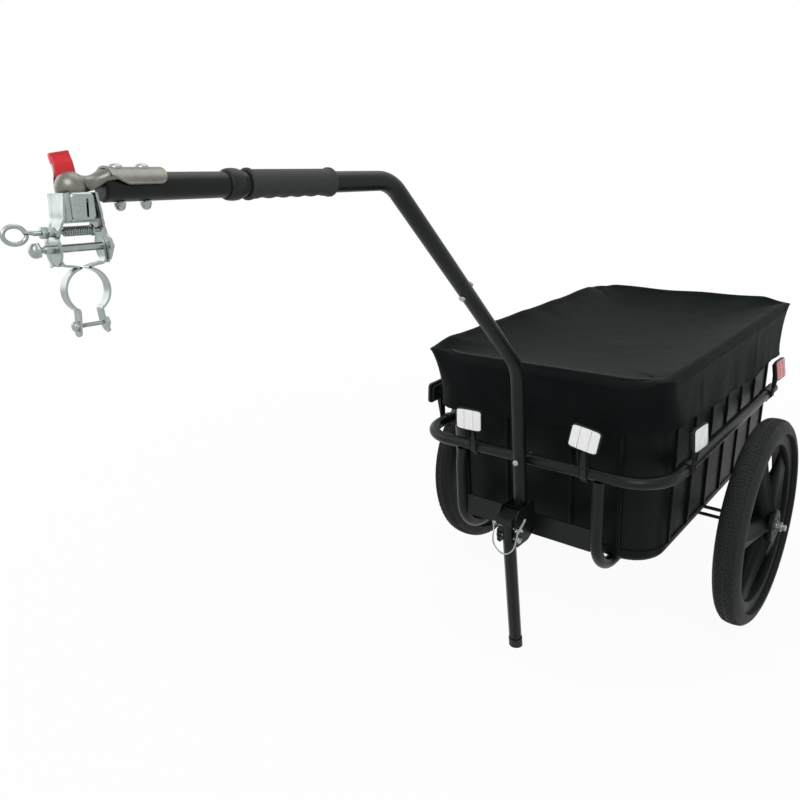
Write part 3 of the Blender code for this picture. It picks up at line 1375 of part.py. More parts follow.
def make_cover():
    """A sheet over the rim that sags inside it and hangs outside it in loose folds."""
    inner_gap = CRATE_RIM_OUT + GAP * 2
    top = CRATE_TOP_Z + GAP * 3
    steps = COVER_STEPS
    levels = []
    skirt_rows = 2
    for i in range(skirt_rows):
        levels.append(("skirt", i / skirt_rows))
    levels += [("edge", 0.0), ("edge", 0.5), ("edge", 1.0)]
    levels += [("top", inset) for inset in COVER_SAG_ROWS]
    rings = []
    for kind, value in levels:
        if kind == "skirt":
            grow = inner_gap + COVER_EASE
            outline = cover_outline(grow, steps)
            ring = []
            for i, (x, y) in enumerate(outline):
                low = skirt_height(x, y)
                z = low + (top - COVER_EDGE_R - low) * value
                hang = 1.0 - value
                round_share = i / len(outline)
                phase = math.tau * COVER_FOLDS * round_share + 1.3 * math.sin(9 * round_share)
                wave = 0.5 + 0.5 * math.sin(phase)
                out = outward(outline, i) * (COVER_FOLD * wave + COVER_SKIRT_OUT) * hang
                ring.append(at(x + out.x, y + out.y, z))
        elif kind == "edge":
            angle = math.pi / 2 * value
            grow = inner_gap + COVER_EASE - COVER_EDGE_R * (1 - math.cos(angle)) * 0.6
            outline = cover_outline(grow, steps)
            ring = []
            for x, y in outline:
                lift = cover_edge_height(x, y) * (0.4 + 0.6 * value)
                ring.append(at(x, y, top - COVER_EDGE_R * (1 - math.sin(angle)) + lift))
        else:
            outline = cover_outline(inner_gap - COVER_EDGE_R * 0.6 - value, steps)
            ring = []
            flat, reach = min(COVER_SAG_ROWS), max(COVER_SAG_ROWS)
            for x, y in outline:
                rise = cover_edge_height(x, y) * max(1.0 - value / 0.05, 0.0)
                sag = COVER_SAG * math.sin(math.pi / 2 * (value - flat) / (reach - flat)) ** 1.2
                ring.append(at(x, y, top - sag + rise))
        rings.append(ring)
    bm = bmesh.new()
    loops = [[bm.verts.new(point) for point in ring] for ring in rings]
    for lower, upper in zip(loops, loops[1:]):
        for i in range(len(lower)):
            j = (i + 1) % len(lower)
            bm.faces.new((lower[i], lower[j], upper[j], upper[i]))
    bm.faces.new(loops[-1])
    mesh = bpy.data.meshes.new("cover")
    bm.to_mesh(mesh)
    bm.free()
    cover = place(bpy.data.objects.new("cover", mesh), BODY, (0, 0, 0), (0, 0, 0), COVER_CLOTH)
    cloth = cover.modifiers.new("cloth", "SOLIDIFY")
    cloth.thickness = COVER_T
    cloth.offset = 1.0
    apply_all(cover)


def cover_outline(grow, steps):
    """The rim's outline grown outwards, with evenly spread points along its straight runs."""
    half = CRATE_HALF_BOTTOM + CRATE_TAPER + grow
    front = CRATE_FRONT_BOTTOM_Y - CRATE_TAPER - grow
    rear = CRATE_REAR_BOTTOM_Y + CRATE_TAPER + grow
    radius = max(CRATE_CORNER_R + CRATE_TAPER + grow, 0.004)
    corners = rounded_rectangle(half, front, rear, radius, 4)
    points = []
    for i, point in enumerate(corners):
        following = corners[(i + 1) % len(corners)]
        points.append(point)
        if i % 5 == 4:
            count = steps if i in (4, 14) else steps * 2 // 3
            for step in range(1, count):
                share = step / count
                points.append(tuple(a + (b - a) * share for a, b in zip(point, following)))
    return points


def outward(outline, i):
    before, after = outline[i - 1], outline[(i + 1) % len(outline)]
    run = Vector((after[0] - before[0], after[1] - before[1])).normalized()
    return Vector((run.y, -run.x))


def skirt_height(x, y):
    """The skirt's lower edge: lowest at the front left, higher towards the front right."""
    share = 0.5 + 0.5 * x / CRATE_HALF_BOTTOM
    front_share = max(0.0, min(1.0, (0.1 - y) / 0.4))
    wobble = 0.0025 * math.sin(31 * x + 23 * y)
    return COVER_SKIRT_Z - 0.008 + COVER_SKIRT_RISE * 2.2 * share**3 * front_share + 0.004 * share + wobble


REFLECTORS = (
    ("front_left", (-0.112, RAIL_FRONT_Y), 0.0, 0.052, 0.0, "front"),
    ("front_right", (0.115, RAIL_FRONT_Y), 0.0, 0.062, 9.0, "front"),
    ("side_right", (RAIL_HALF, -0.231), 90.0, 0.056, 0.0, "side"),
    ("side_left", (-RAIL_HALF, -0.250), -90.0, 0.056, 0.0, "side"),
    ("rear_right", (RAIL_HALF, 0.232), 90.0, 0.059, 0.0, "rear"),
    ("rear_left", (-RAIL_HALF, 0.232), -90.0, 0.059, 0.0, "rear"),
)


def make_reflectors():
    for name, (x, y), heading, rise, roll, kind in REFLECTORS:
        home = empty(f"at_{name}", at(x, y, RAIL_Z), (0.0, 0.0, math.radians(heading)), BODY)
        arm_y = -(TUBE_R + GAP + ARM_T / 2)
        back_y = arm_y - ARM_T / 2
        arm_h = rise + 0.014
        arm_spot = (0, arm_y - 0.0002, arm_h / 2 - 0.004)
        arm = box(f"arm_{name}", (ARM_W, ARM_T, arm_h), arm_spot, home, BLACK_PLASTIC)
        clip_in = (TUBE_R + GAP) / math.cos(math.pi / 10)
        ring = [circle((0, 0), clip_in + CLIP_T), circle((0, 0), clip_in)]
        clip = plate(f"clip_{name}", ring, ARM_W, (0, 0, 0), "X", home, BLACK_PLASTIC)
        lug_z = -(TUBE_R + CLIP_T + 0.0008)
        lug = box(f"lug_{name}", (ARM_W, 0.009, 0.004), (0, 0.0, lug_z), home, BLACK_PLASTIC)
        tilt = (0.0, math.radians(roll), 0.0)
        middle = (0.0, back_y - LAMP_T / 2, rise)
        size = (LAMP_W, LAMP_T, LAMP_H)
        shell = box(f"reflector_{name}", size, middle, home, BLACK_PLASTIC, tilt, bevel=0.0035, rows=1)
        shell = apply_all(shell)
        pocket_size = (LAMP_W - 2 * LENS_EDGE, 2 * LENS_T, LAMP_H - 2 * LENS_EDGE)
        pocket = box(f"pocket_{name}", pocket_size, (0.0, back_y - LAMP_T, rise), home, None, tilt)
        cut(weld(shell, [arm, clip, lug]), [pocket])
        lens_size = (pocket_size[0] - 2 * GAP, LENS_T - GAP, pocket_size[2] - 2 * GAP)
        lens_spot = (0.0, back_y - LAMP_T + LENS_T / 2 - GAP / 2, rise)
        paint = RED_LENS if kind == "rear" else WHITE_LENS
        box(f"lens_{name}", lens_size, lens_spot, home, paint, tilt)


def main():
    make_rail()
    make_hoops()
    make_axle_parts()
    for side, word in ((-1, "left"), (1, "right")):
        make_wheel(side, word)
    make_drawbar()
    make_saddle()
    make_stand()
    make_ball_and_stem()
    make_hitch_bracket()
    make_lever()
    make_eye_bolt()
    make_clamp()
    make_crate()
    make_cover()
    make_reflectors()


main()
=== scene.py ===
"""The looks of a bicycle cargo trailer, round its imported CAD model: metres, +Z up, coupling towards -Y."""

import json
import math

import bmesh
import bpy
from mathutils import Matrix, Vector


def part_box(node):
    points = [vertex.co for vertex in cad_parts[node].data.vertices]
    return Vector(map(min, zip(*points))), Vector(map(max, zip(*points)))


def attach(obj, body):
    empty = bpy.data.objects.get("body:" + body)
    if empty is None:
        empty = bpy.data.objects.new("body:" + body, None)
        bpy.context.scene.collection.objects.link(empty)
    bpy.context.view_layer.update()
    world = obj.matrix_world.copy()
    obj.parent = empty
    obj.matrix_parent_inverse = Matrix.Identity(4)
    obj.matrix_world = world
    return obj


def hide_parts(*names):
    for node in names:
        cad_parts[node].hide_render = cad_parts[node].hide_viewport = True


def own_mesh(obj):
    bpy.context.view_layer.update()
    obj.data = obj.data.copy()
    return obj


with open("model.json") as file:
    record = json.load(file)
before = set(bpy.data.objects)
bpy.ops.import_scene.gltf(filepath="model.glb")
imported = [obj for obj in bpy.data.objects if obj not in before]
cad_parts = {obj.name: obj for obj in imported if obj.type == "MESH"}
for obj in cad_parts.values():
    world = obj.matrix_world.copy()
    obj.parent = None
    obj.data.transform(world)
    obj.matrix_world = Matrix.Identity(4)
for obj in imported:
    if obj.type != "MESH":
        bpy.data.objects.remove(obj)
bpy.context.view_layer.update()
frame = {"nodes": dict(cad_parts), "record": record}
SCENE = bpy.context.scene

# The parked trailer tips forward about its axle
PARK_PITCH = math.radians(2.3)
WHEEL_RADIUS = 0.200
HUB_LOW, HUB_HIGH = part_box("wheel_bearing_right")
AXLE_Y = (HUB_LOW.y + HUB_HIGH.y) / 2
TRACK_HALF = (HUB_LOW.x + HUB_HIGH.x) / 2
BALL_LOW, BALL_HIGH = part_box("ball")
BALL = Vector((0.0, (BALL_LOW.y + BALL_HIGH.y) / 2, (BALL_LOW.z + BALL_HIGH.z) / 2))
AXLE = Matrix.Translation((0.0, AXLE_Y, WHEEL_RADIUS))
TRAILER = AXLE @ Matrix.Rotation(PARK_PITCH, 4, "X") @ Matrix.Translation((0.0, 0.0, -WHEEL_RADIUS))
HITCH = Matrix.Translation(BALL)
RIGHT, BACK, UP = Vector((1.0, 0.0, 0.0)), Vector((0.0, 1.0, 0.0)), Vector((0.0, 0.0, 1.0))
HERE = Matrix.Identity(4)
SHARP = 40.0

# Camera, measured from the photograph's perspective, relative to the axle on the ground
CAMERA_FROM_AXLE = (0.6142, -1.3954, 0.834)
CAMERA_YAW = 0.7121
CAMERA_DOWN = 0.2876
CAMERA_ROLL = -0.0279
FOCAL_PIXELS = 724.97
PHOTO_SIDE = 800
SENSOR = 36.0


def make_camera():
    data = bpy.data.cameras.new("camera")
    data.sensor_width = SENSOR
    data.lens = SENSOR * FOCAL_PIXELS / PHOTO_SIDE
    camera = bpy.data.objects.new("camera", data)
    SCENE.collection.objects.link(camera)
    ahead = Vector((
        -math.sin(CAMERA_YAW) * math.cos(CAMERA_DOWN),
        math.cos(CAMERA_YAW) * math.cos(CAMERA_DOWN),
        -math.sin(CAMERA_DOWN),
    ))
    right = Vector((math.cos(CAMERA_YAW), math.sin(CAMERA_YAW), 0.0))
    up = right.cross(ahead)
    across = right * math.cos(CAMERA_ROLL) + up * math.sin(CAMERA_ROLL)
    upright = up * math.cos(CAMERA_ROLL) - right * math.sin(CAMERA_ROLL)
    turn = axes(across, upright, -ahead)
    spot = Vector(CAMERA_FROM_AXLE) + Vector((0.0, AXLE_Y, 0.0))
    camera.matrix_world = Matrix.Translation(spot) @ turn
    SCENE.camera = camera


class Nodes:
    """A short way to write the nodes of a material or of the world."""

    def __init__(self, name, home=None):
        self.owner = (bpy.data.materials if home is None else home).new(name)
        self.owner.use_nodes = True
        self.tree = self.owner.node_tree
        self.shader = self.tree.nodes.get("Principled BSDF")
        self.place = self.add("ShaderNodeTexCoord").outputs["Object"]

    def put(self, socket, value):
        """Links the value to the socket, or sets it there; a colour gets full cover."""
        if isinstance(value, bpy.types.NodeSocket):
            self.tree.links.new(value, socket)
        else:
            socket.default_value = (*value, 1.0) if isinstance(value, tuple) else value

    def add(self, kind, values=None, **settings):
        node = self.tree.nodes.new(kind)
        for key, value in settings.items():
            setattr(node, key, value)
        for key, value in (values or {}).items():
            self.put(node.inputs[key], value)
        return node

    def noise(self, scale, detail=3.0, roughness=0.55):
        values = {"Vector": self.place, "Scale": scale, "Detail": detail, "Roughness": roughness}
        return self.add("ShaderNodeTexNoise", values).outputs["Fac"]

    def grid(self, scale, *directions):
        """Parallel ridges in two directions, multiplied into a close grid."""
        values = {"Vector": self.place, "Scale": scale}
        waves = [self.add("ShaderNodeTexWave", values, bands_direction=way) for way in directions]
        return self.combine("MULTIPLY", *(wave.outputs["Fac"] for wave in waves))

    def ramp(self, value, low, high, first, last):
        """Maps a value from low..high to first..last."""
        values = {"Value": value, "From Min": low, "From Max": high, "To Min": first, "To Max": last}
        return self.add("ShaderNodeMapRange", values).outputs["Result"]

    def combine(self, operation, first, second):
        return self.add("ShaderNodeMath", {0: first, 1: second}, operation=operation).outputs[0]

    def mix(self, share, first, last):
        return self.add("ShaderNodeMix", {0: share, 6: first, 7: last}, data_type="RGBA").outputs[2]

    def bump(self, height, distance, strength=1.0, before=None):
        values = {"Height": height, "Distance": distance, "Strength": strength}
        if before is not None:
            values["Normal"] = before
        return self.add("ShaderNodeBump", values).outputs["Normal"]

    def set(self, **values):
        for key, value in values.items():
            self.put(self.shader.inputs[key.replace("_", " ")], value)
        return self.owner

    def seen(self):
        """1 for a ray that comes from the camera, straight, off a mirror or through a lens."""
        rays = self.add("ShaderNodeLightPath").outputs
        mirrors = self.combine("MAXIMUM", rays["Is Glossy Ray"], rays["Is Transmission Ray"])
        return self.combine("MAXIMUM", rays["Is Camera Ray"], mirrors)

    def surface(self, output, share, first, last):
        mixed = self.add("ShaderNodeMixShader", {0: share, 1: first.outputs[0], 2: last.outputs[0]})
        self.tree.links.new(mixed.outputs[0], self.tree.nodes[output].inputs["Surface"])


def frame_paint():
    """Black powder coat with a faint orange peel, duller where hands and dust reach it."""
    n = Nodes("frame_paint")
    dust = n.noise(9.0, 5.0, 0.65)
    peel = n.noise(900.0, 1.0)
    colour = n.mix(n.ramp(dust, 0.45, 0.75, 0.0, 0.5), (0.0045, 0.0068, 0.0064), (0.0110, 0.0132, 0.0124))
    rough = n.ramp(dust, 0.3, 0.8, 0.30, 0.44)
    return n.set(Base_Color=colour, Roughness=rough, Normal=n.bump(peel, 0.00006), Specular_IOR_Level=0.20)


def zinc_steel():
    """Bright zinc with a fine crystal mottle and a fine grain."""
    n = Nodes("zinc_steel")
    cells = n.add("ShaderNodeTexVoronoi", {"Vector": n.place, "Scale": 260.0}, feature="F1").outputs["Color"]
    tone = n.add("ShaderNodeSeparateColor", {"Color": cells}).outputs["Red"]
    cloud = n.noise(55.0, 4.0)
    colour = n.mix(n.ramp(tone, 0.0, 1.0, 0.0, 0.35), (0.345, 0.388, 0.372), (0.235, 0.268, 0.255))
    rough = n.ramp(cloud, 0.3, 0.75, 0.25, 0.38)
    grain = n.bump(n.noise(420.0, 4.0), 0.00004)
    return n.set(Base_Color=colour, Metallic=1.0, Roughness=rough, Normal=grain)


def dull_zinc():
    n = Nodes("dull_zinc")
    cloud = n.noise(60.0, 5.0, 0.6)
    colour = n.mix(n.ramp(cloud, 0.35, 0.7, 0.0, 1.0), (0.150, 0.148, 0.132), (0.215, 0.212, 0.190))
    rough = n.ramp(cloud, 0.3, 0.75, 0.34, 0.46)
    grain = n.bump(n.noise(500.0, 3.0), 0.00008)
    return n.set(Base_Color=colour, Metallic=1.0, Roughness=rough, Normal=grain)


def moulded_plastic(name, colour, rough, grain=0.00008, gloss=0.25):
    n = Nodes(name)
    cloud = n.noise(14.0, 4.0)
    tint = n.mix(n.ramp(cloud, 0.35, 0.7, 0.0, 1.0), colour, tuple(c * 1.35 for c in colour))
    spread = n.ramp(cloud, 0.3, 0.75, rough, rough + 0.1)
    rough_skin = n.bump(n.noise(1400.0, 2.0), grain)
    return n.set(Base_Color=tint, Roughness=spread, Normal=rough_skin, Specular_IOR_Level=gloss)


def tyre_rubber():
    n = Nodes("tyre_rubber")
    dust = n.noise(38.0, 5.0, 0.65)
    colour = n.mix(n.ramp(dust, 0.45, 0.75, 0.0, 1.0), (0.0075, 0.0098, 0.0088), (0.0170, 0.0195, 0.0175))
    rough = n.ramp(dust, 0.3, 0.8, 0.62, 0.85)
    grain = n.bump(n.noise(700.0, 3.0), 0.00012)
    return n.set(Base_Color=colour, Roughness=rough, Normal=grain, Specular_IOR_Level=0.3)


def cloth():
    """Coated polyester: a tight plain weave that only shows close by, and broad soft creases, with painted
    shade darkening their hollows.
    """
    n = Nodes("cover_cloth")
    weave = n.grid(190.0, "X", "Y")
    crease = n.noise(16.0, 4.0, 0.5)
    # Painted shade: the colour follows the crease bump, darker in its hollows and lighter on its ridges.
    colour = n.mix(n.ramp(crease, 0.35, 0.75, 0.0, 1.0), (0.0022, 0.0040, 0.0039), (0.0048, 0.0068, 0.0066))
    soft = n.bump(crease, 0.006, 0.5)
    return n.set(
        Base_Color=colour, Roughness=0.62, Normal=n.bump(weave, 0.00015, before=soft),
        Sheen_Weight=0.01, Sheen_Roughness=0.45, Specular_IOR_Level=0.05,
    )


def lens(name, colour):
    """Clear plastic over a close grid of prisms, with a painted highlight on the prism tops."""
    n = Nodes(name)
    prisms = n.grid(110.0, "X", "Z")
    # Painted highlight: the colour is lighter where the prisms stand up.
    tint = n.mix(n.ramp(prisms, 0.0, 1.0, 0.0, 1.0), colour, tuple(min(c * 1.25, 1.0) for c in colour))
    relief = n.bump(prisms, 0.0004)
    return n.set(Base_Color=tint, Roughness=0.12, Normal=relief, Coat_Weight=0.6, Coat_Roughness=0.05)


MATERIALS = {
    "frame_paint": frame_paint(),
    "zinc_steel": zinc_steel(),
    "dull_zinc": dull_zinc(),
    "black_plastic": moulded_plastic("black_plastic", (0.0062, 0.0082, 0.0078), 0.42),
    "mag_plastic": moulded_plastic("mag_plastic", (0.0032, 0.0050, 0.0044), 0.40, gloss=0.08),
    "tyre_rubber": tyre_rubber(),
    "grip_rubber": moulded_plastic("grip_rubber", (0.0165, 0.0195, 0.0185), 0.62, 0.00015, 0.4),
    "cover_cloth": cloth(),
    "red_plastic": moulded_plastic("red_plastic", (0.60, 0.012, 0.018), 0.30, 0.00003, 0.5),
    "white_lens": lens("white_lens", (0.72, 0.73, 0.74)),
    "red_lens": lens("red_lens", (0.55, 0.010, 0.016)),
    "bearing_steel": dull_zinc(),
    # The crate's own copy of the black plastic, less glossy and darker: the darker colour is painted shade
    # for the crate under the cover.
    "crate_plastic_painted_shade": moulded_plastic("crate_plastic_painted_shade", (0.0028, 0.0046, 0.0044), 0.38, gloss=0.09),
    "bright_lens": lens("bright_lens", (0.86, 0.87, 0.87)),
}
SLOT_OF = {part["node"]: part["material_slot"] for part in frame["record"]["subparts"]}


def dress_cad_nodes():
    for name, node in frame["nodes"].items():
        node.data.materials.clear()
        node.data.materials.append(MATERIALS[SLOT_OF[name]])
        node.data.shade_smooth()
        node.data.set_sharp_from_angle(angle=math.radians(SHARP))


# Studio: lamps as place, size and power
FLOOR_HALF = 14.0
BACKDROP_LIGHT = 0.42
LAMPS = {
    "key": ((1.6, -2.4, 2.6), 2.0, 46.0),
    "fill": ((-2.6, -1.4, 1.8), 2.4, 20.0),
    "top": ((0.0, 0.6, 3.2), 2.6, 26.0),
}
LAMP_AIM = Vector((0.0, 0.0, 0.4))


def make_studio():
    """A pale floor that the camera and mirrors see as white, and three soft lamps."""
    mesh = bpy.data.meshes.new("floor")
    bm = bmesh.new()
    bmesh.ops.create_grid(bm, x_segments=1, y_segments=1, size=FLOOR_HALF)
    bm.to_mesh(mesh)
    bm.free()
    floor = bpy.data.objects.new("floor", mesh)
    SCENE.collection.objects.link(floor)
    floor.data.materials.append(MATERIALS.setdefault("floor", floor_paint()))
    sky = Nodes("studio", bpy.data.worlds)
    SCENE.world = sky.owner
    backdrop = sky.tree.nodes["Background"]
    sky.put(backdrop.inputs["Color"], (1.0, 1.0, 1.0))
    sky.put(backdrop.inputs["Strength"], BACKDROP_LIGHT)
    white = sky.add("ShaderNodeBackground", {"Color": (1.0, 1.0, 1.0), "Strength": 1.0})
    sky.surface("World Output", sky.seen(), backdrop, white)
    for name, (spot, size, power) in LAMPS.items():
        lamp(name, spot, size, power)


def floor_paint():
    """Pale grey for the light it throws back, and near white where it is seen, fully white far away."""
    n = Nodes("floor_paint")
    glow = n.add("ShaderNodeEmission", {"Color": (1.0, 1.0, 1.0), "Strength": 1.0})
    n.set(Base_Color=(0.86, 0.86, 0.86), Roughness=0.9)
    away = n.add("ShaderNodeVectorMath", {0: n.place}, operation="LENGTH").outputs["Value"]
    share = n.ramp(away, 0.9, 3.2, 0.95, 1.0)
    n.surface("Material Output", n.combine("MULTIPLY", n.seen(), share), n.shader, glow)
    return n.owner


def lamp(name, spot, size, power):
    data = bpy.data.lights.new(name, "AREA")
    data.shape = "DISK"
    data.size = size
    data.energy = power
    made = bpy.data.objects.new(name, data)
    SCENE.collection.objects.link(made)
    made.location = spot
    made.rotation_euler = (LAMP_AIM - Vector(spot)).to_track_quat("-Z", "Y").to_euler()


# Tube runs in the level drawing's own lengths, as (x, y from the axle, z)
TUBE_R = 0.0105
TUBE_WALL = 0.0015
RAIL_Z = 0.381
RAIL_HALF = 0.240
RAIL_FRONT_Y = -0.340
RAIL_END_Y = 0.283
RAIL_BEND_R = 0.070
HOOP_X = 0.138
HOOP_FRONT_Y = -0.344
HOOP_REAR_Y = 0.408
HOOP_RUN_Z = 0.1964
HOOP_BEND_R = 0.066
HOOP_REAR_BEND_R = 0.040
BAR_R = 0.0118
BAR_FOOT = (0.0, -0.3580, 0.2500)
BAR_KNEE = (0.0, -0.3700, 0.5550)
BAR_SEAM = (0.0, -0.5290, 0.7236)
BAR_ELBOW = (0.0, -0.6656, 0.8674)
BAR_END = (0.0, -1.0404, 0.8814)
BAR_KNEE_R = 0.075
BAR_ELBOW_R = 0.052
TOW_R = 0.0126
TOW_START = 0.225
GRIP_NEAR, GRIP_FAR = 0.153, 0.272
GRIP_R = 0.0148
GRIP_FLANGE_R = 0.0160
COLLAR_NEAR, COLLAR_FAR = 0.127, 0.145
COLLAR_R = 0.0158
GAP = 0.0003
MOUTH_DEPTH = 0.030


def moved(x, y, z):
    return Matrix.Translation((x, y, z))


def turned(degrees, axis):
    return Matrix.Rotation(math.radians(degrees), 4, axis)


def axes(first, second, third):
    """The turn whose own X, Y and Z run along these three."""
    return Matrix((first, second, third)).transposed().to_4x4()


# A drawing's X runs back, its Y up and its Z to the right
SIDEWAYS = axes(BACK, UP, RIGHT)
# A turned piece's own Z runs back
ALONG_U = turned(-90.0, "X")


def clamp(value):
    return min(max(value, 0.0), 1.0)


def ease(value):
    """A smooth step from 0 to 1."""
    value = clamp(value)
    return value * value * (3 - 2 * value)


def bulge(value, power):
    """A power that keeps the value's sign."""
    return math.copysign(abs(value) ** power, value)


def circle(count, radius=1.0, turn=0.0):
    angles = [turn + math.tau * k / count for k in range(count)]
    return [(radius * math.cos(angle), radius * math.sin(angle)) for angle in angles]


def mirrored(profile):
    """A (radius, along) profile and, after it, its mirror image."""
    return profile + [(radius, -along) for radius, along in reversed(profile)]


def bridge(bm, lower, upper):
    """A band of faces between two rings of vertices."""
    for k in range(len(lower)):
        j = (k + 1) % len(lower)
        bm.faces.new((lower[k], lower[j], upper[j], upper[k]))


def skin(bm, rings, closed_low=False, closed_high=False):
    """Faces through rings of points, with a cap on an end that is closed; gives the rings of vertices."""
    loops = [[bm.verts.new(point) for point in ring] for ring in rings]
    for lower, upper in zip(loops, loops[1:]):
        bridge(bm, lower, upper)
    if closed_low:
        bm.faces.new(loops[0][::-1])
    if closed_high:
        bm.faces.new(loops[-1])
    return loops


def rounded(points, radius, steps=14):
    """The polyline with each inner corner replaced by an arc."""
    points = [Vector(p) for p in points]
    path = [points[0]]
    for before, corner, after in zip(points, points[1:], points[2:]):
        into = (corner - before).normalized()
        out = (after - corner).normalized()
        turn = into.angle(out)
        reach = radius * math.tan(turn / 2)
        inward = into.cross(out).normalized().cross(into)
        centre = corner - into * reach + inward * radius
        for step in range(steps + 1):
            angle = turn * step / steps
            path.append(centre + (into * math.sin(angle) - inward * math.cos(angle)) * radius)
    path.append(points[-1])
    return path


def sweep(bm, points, radius, sides=24, closed=False, wall=0.0):
    """A round rod along the points; one with a wall is open at its ends, as a tube is."""
    points = [Vector(p) for p in points]
    count = len(points)
    side = None
    rings = []
    for i, point in enumerate(points):
        before = points[i - 1] if i or closed else point
        after = points[(i + 1) % count] if i < count - 1 or closed else point
        along = (after - before).normalized()
        if side is None:
            side = along.orthogonal()
        side = (side - along * side.dot(along)).normalized()
        other = along.cross(side)
        rings.append([point + (side * a + other * b) * radius for a, b in circle(sides)])
    loops = skin(bm, rings)
    if closed:
        bridge(bm, loops[-1], loops[0])
        return
    for ring, centre, point in ((loops[0], points[1], points[0]), (loops[-1], points[-2], points[-1])):
        if not wall:
            bm.faces.new(ring)
            continue
        inward = (centre - point).normalized() * MOUTH_DEPTH
        mouth = [bm.verts.new(point + (v.co - point) * (1 - wall / (v.co - point).length)) for v in ring]
        floor = [bm.verts.new(v.co + inward) for v in mouth]
        bridge(bm, ring, mouth)
        bridge(bm, mouth, floor)
        bm.faces.new(floor)


def lathe(bm, profile, matrix, steps=96, closed=False):
    """Turns (radius, along) points about the matrix's Z; a radius of 0 closes an end. Gives rows of faces."""
    rings = []
    for radius, along in profile:
        points = circle(steps, radius) if radius else [(0.0, 0.0)]
        rings.append([bm.verts.new(matrix @ Vector((x, y, along))) for x, y in points])
    rows = []
    pairs = list(zip(rings, rings[1:])) + ([(rings[-1], rings[0])] if closed else [])
    for lower, upper in pairs:
        row = []
        for k in range(steps):
            j = (k + 1) % steps
            if len(lower) == 1:
                corners = (lower[0], upper[j], upper[k])
            elif len(upper) == 1:
                corners = (lower[k], lower[j], upper[0])
            else:
                corners = (lower[k], lower[j], upper[j], upper[k])
            row.append(bm.faces.new(corners))
        rows.append(row)
    return rows


def prism(bm, outline, low, high, matrix, bevel=0.0, segments=2):
    """A flat plate with this (x, y) outline from z low to z high, its edges rounded by the bevel."""
    made = bmesh.new()
    base, top = ([made.verts.new((x, y, z)) for x, y in outline] for z in (low, high))
    made.faces.new(base[::-1])
    made.faces.new(top)
    bridge(made, base, top)
    bmesh.ops.recalc_face_normals(made, faces=made.faces)
    if bevel:
        rim = [edge for edge in made.edges if edge.verts[0].co.z == edge.verts[1].co.z]
        bmesh.ops.bevel(
            made, geom=rim, offset=bevel, segments=segments, profile=0.5, affect="EDGES", clamp_overlap=True
        )
    join(bm, made, matrix)


def join(bm, made, matrix=HERE):
    """Adds the made mesh to bm, placed by the matrix, and frees it."""
    mesh = bpy.data.meshes.new("joined")
    made.to_mesh(mesh)
    made.free()
    mesh.transform(matrix)
    bm.from_mesh(mesh)
    bpy.data.meshes.remove(mesh)


def thicken(bm, amount):
    bmesh.ops.recalc_face_normals(bm, faces=bm.faces)
    bmesh.ops.solidify(bm, geom=bm.faces[:], thickness=amount)


def row_across(half, y, z, middle=0.0, steps=8):
    """Points across the part at this y and z."""
    return [(middle - half + 2 * half * k / steps, y, z) for k in range(steps + 1)]


def bent_sheet(bm, rows, thickness, matrix=HERE):
    """Sheet metal through rows of points, placed by the matrix."""
    made = bmesh.new()
    grid = [[made.verts.new(point) for point in row] for row in rows]
    for lower, upper in zip(grid, grid[1:]):
        for k in range(len(lower) - 1):
            made.faces.new((lower[k], lower[k + 1], upper[k + 1], upper[k]))
    thicken(made, thickness)
    join(bm, made, matrix)


def arc(centre, radius, start, end, steps=12):
    angles = [start + (end - start) * i / steps for i in range(steps + 1)]
    return [(centre[0] + radius * math.cos(angle), centre[1] + radius * math.sin(angle)) for angle in angles]


def smooth_path(points, each=6):
    """Points along a smooth curve through these points, which may have two to four numbers each."""
    points = [Vector(p) for p in points]
    path = []
    ahead = points[2:] + points[-1:]
    for before, first, second, after in zip(points[:1] + points, points, points[1:], ahead):
        square = 2 * before - 5 * first + 4 * second - after
        cube = 3 * first - before - 3 * second + after
        for t in [i / each for i in range(each)]:
            path.append(0.5 * (2 * first + (second - before) * t + square * t * t + cube * t**3))
    path.append(points[-1])
    return path


def rounded_box(width, height, radius, steps=8):
    """The outline of a rectangle about the origin with round corners."""
    x, y = width / 2 - radius, height / 2 - radius
    points = []
    for i, (sx, sy) in enumerate(((1, 1), (-1, 1), (-1, -1), (1, -1))):
        points += arc((sx * x, sy * y), radius, math.pi / 2 * i, math.pi / 2 * (i + 1), steps)
    return points


def finish_piece(bm, name, matrix, slot, body, replaces=(), sharp=SHARP, material=None):
    """Makes the mesh a scene piece on its body, in its slot's material, that stands for its nodes."""
    bmesh.ops.recalc_face_normals(bm, faces=bm.faces)
    mesh = bpy.data.meshes.new(name)
    bm.to_mesh(mesh)
    bm.free()
    mesh.transform(matrix)
    piece = bpy.data.objects.new(name, mesh)
    SCENE.collection.objects.link(piece)
    mesh.materials.append(MATERIALS[material or slot])
    mesh.shade_smooth()
    mesh.set_sharp_from_angle(angle=math.radians(sharp))
    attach(piece, body)
    if replaces:
        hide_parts(*replaces)
    return piece


def bar_point(back, off=0.0):
    """A point on the drawbar's level front run, measured back from its open end."""
    end, elbow = Vector(BAR_END), Vector(BAR_ELBOW)
    along = (elbow - end).normalized()
    return end + along * back + Vector((0.0, -along.z, along.y)) * off


def bar_matrix(back, off=0.0):
    """Placement whose Z runs back along the drawbar's front run and whose Y points up off it."""
    along = (Vector(BAR_ELBOW) - Vector(BAR_END)).normalized()
    up = Vector((0.0, -along.z, along.y))
    return TRAILER @ Matrix.Translation(bar_point(back, off)) @ axes(up.cross(along), up, along)


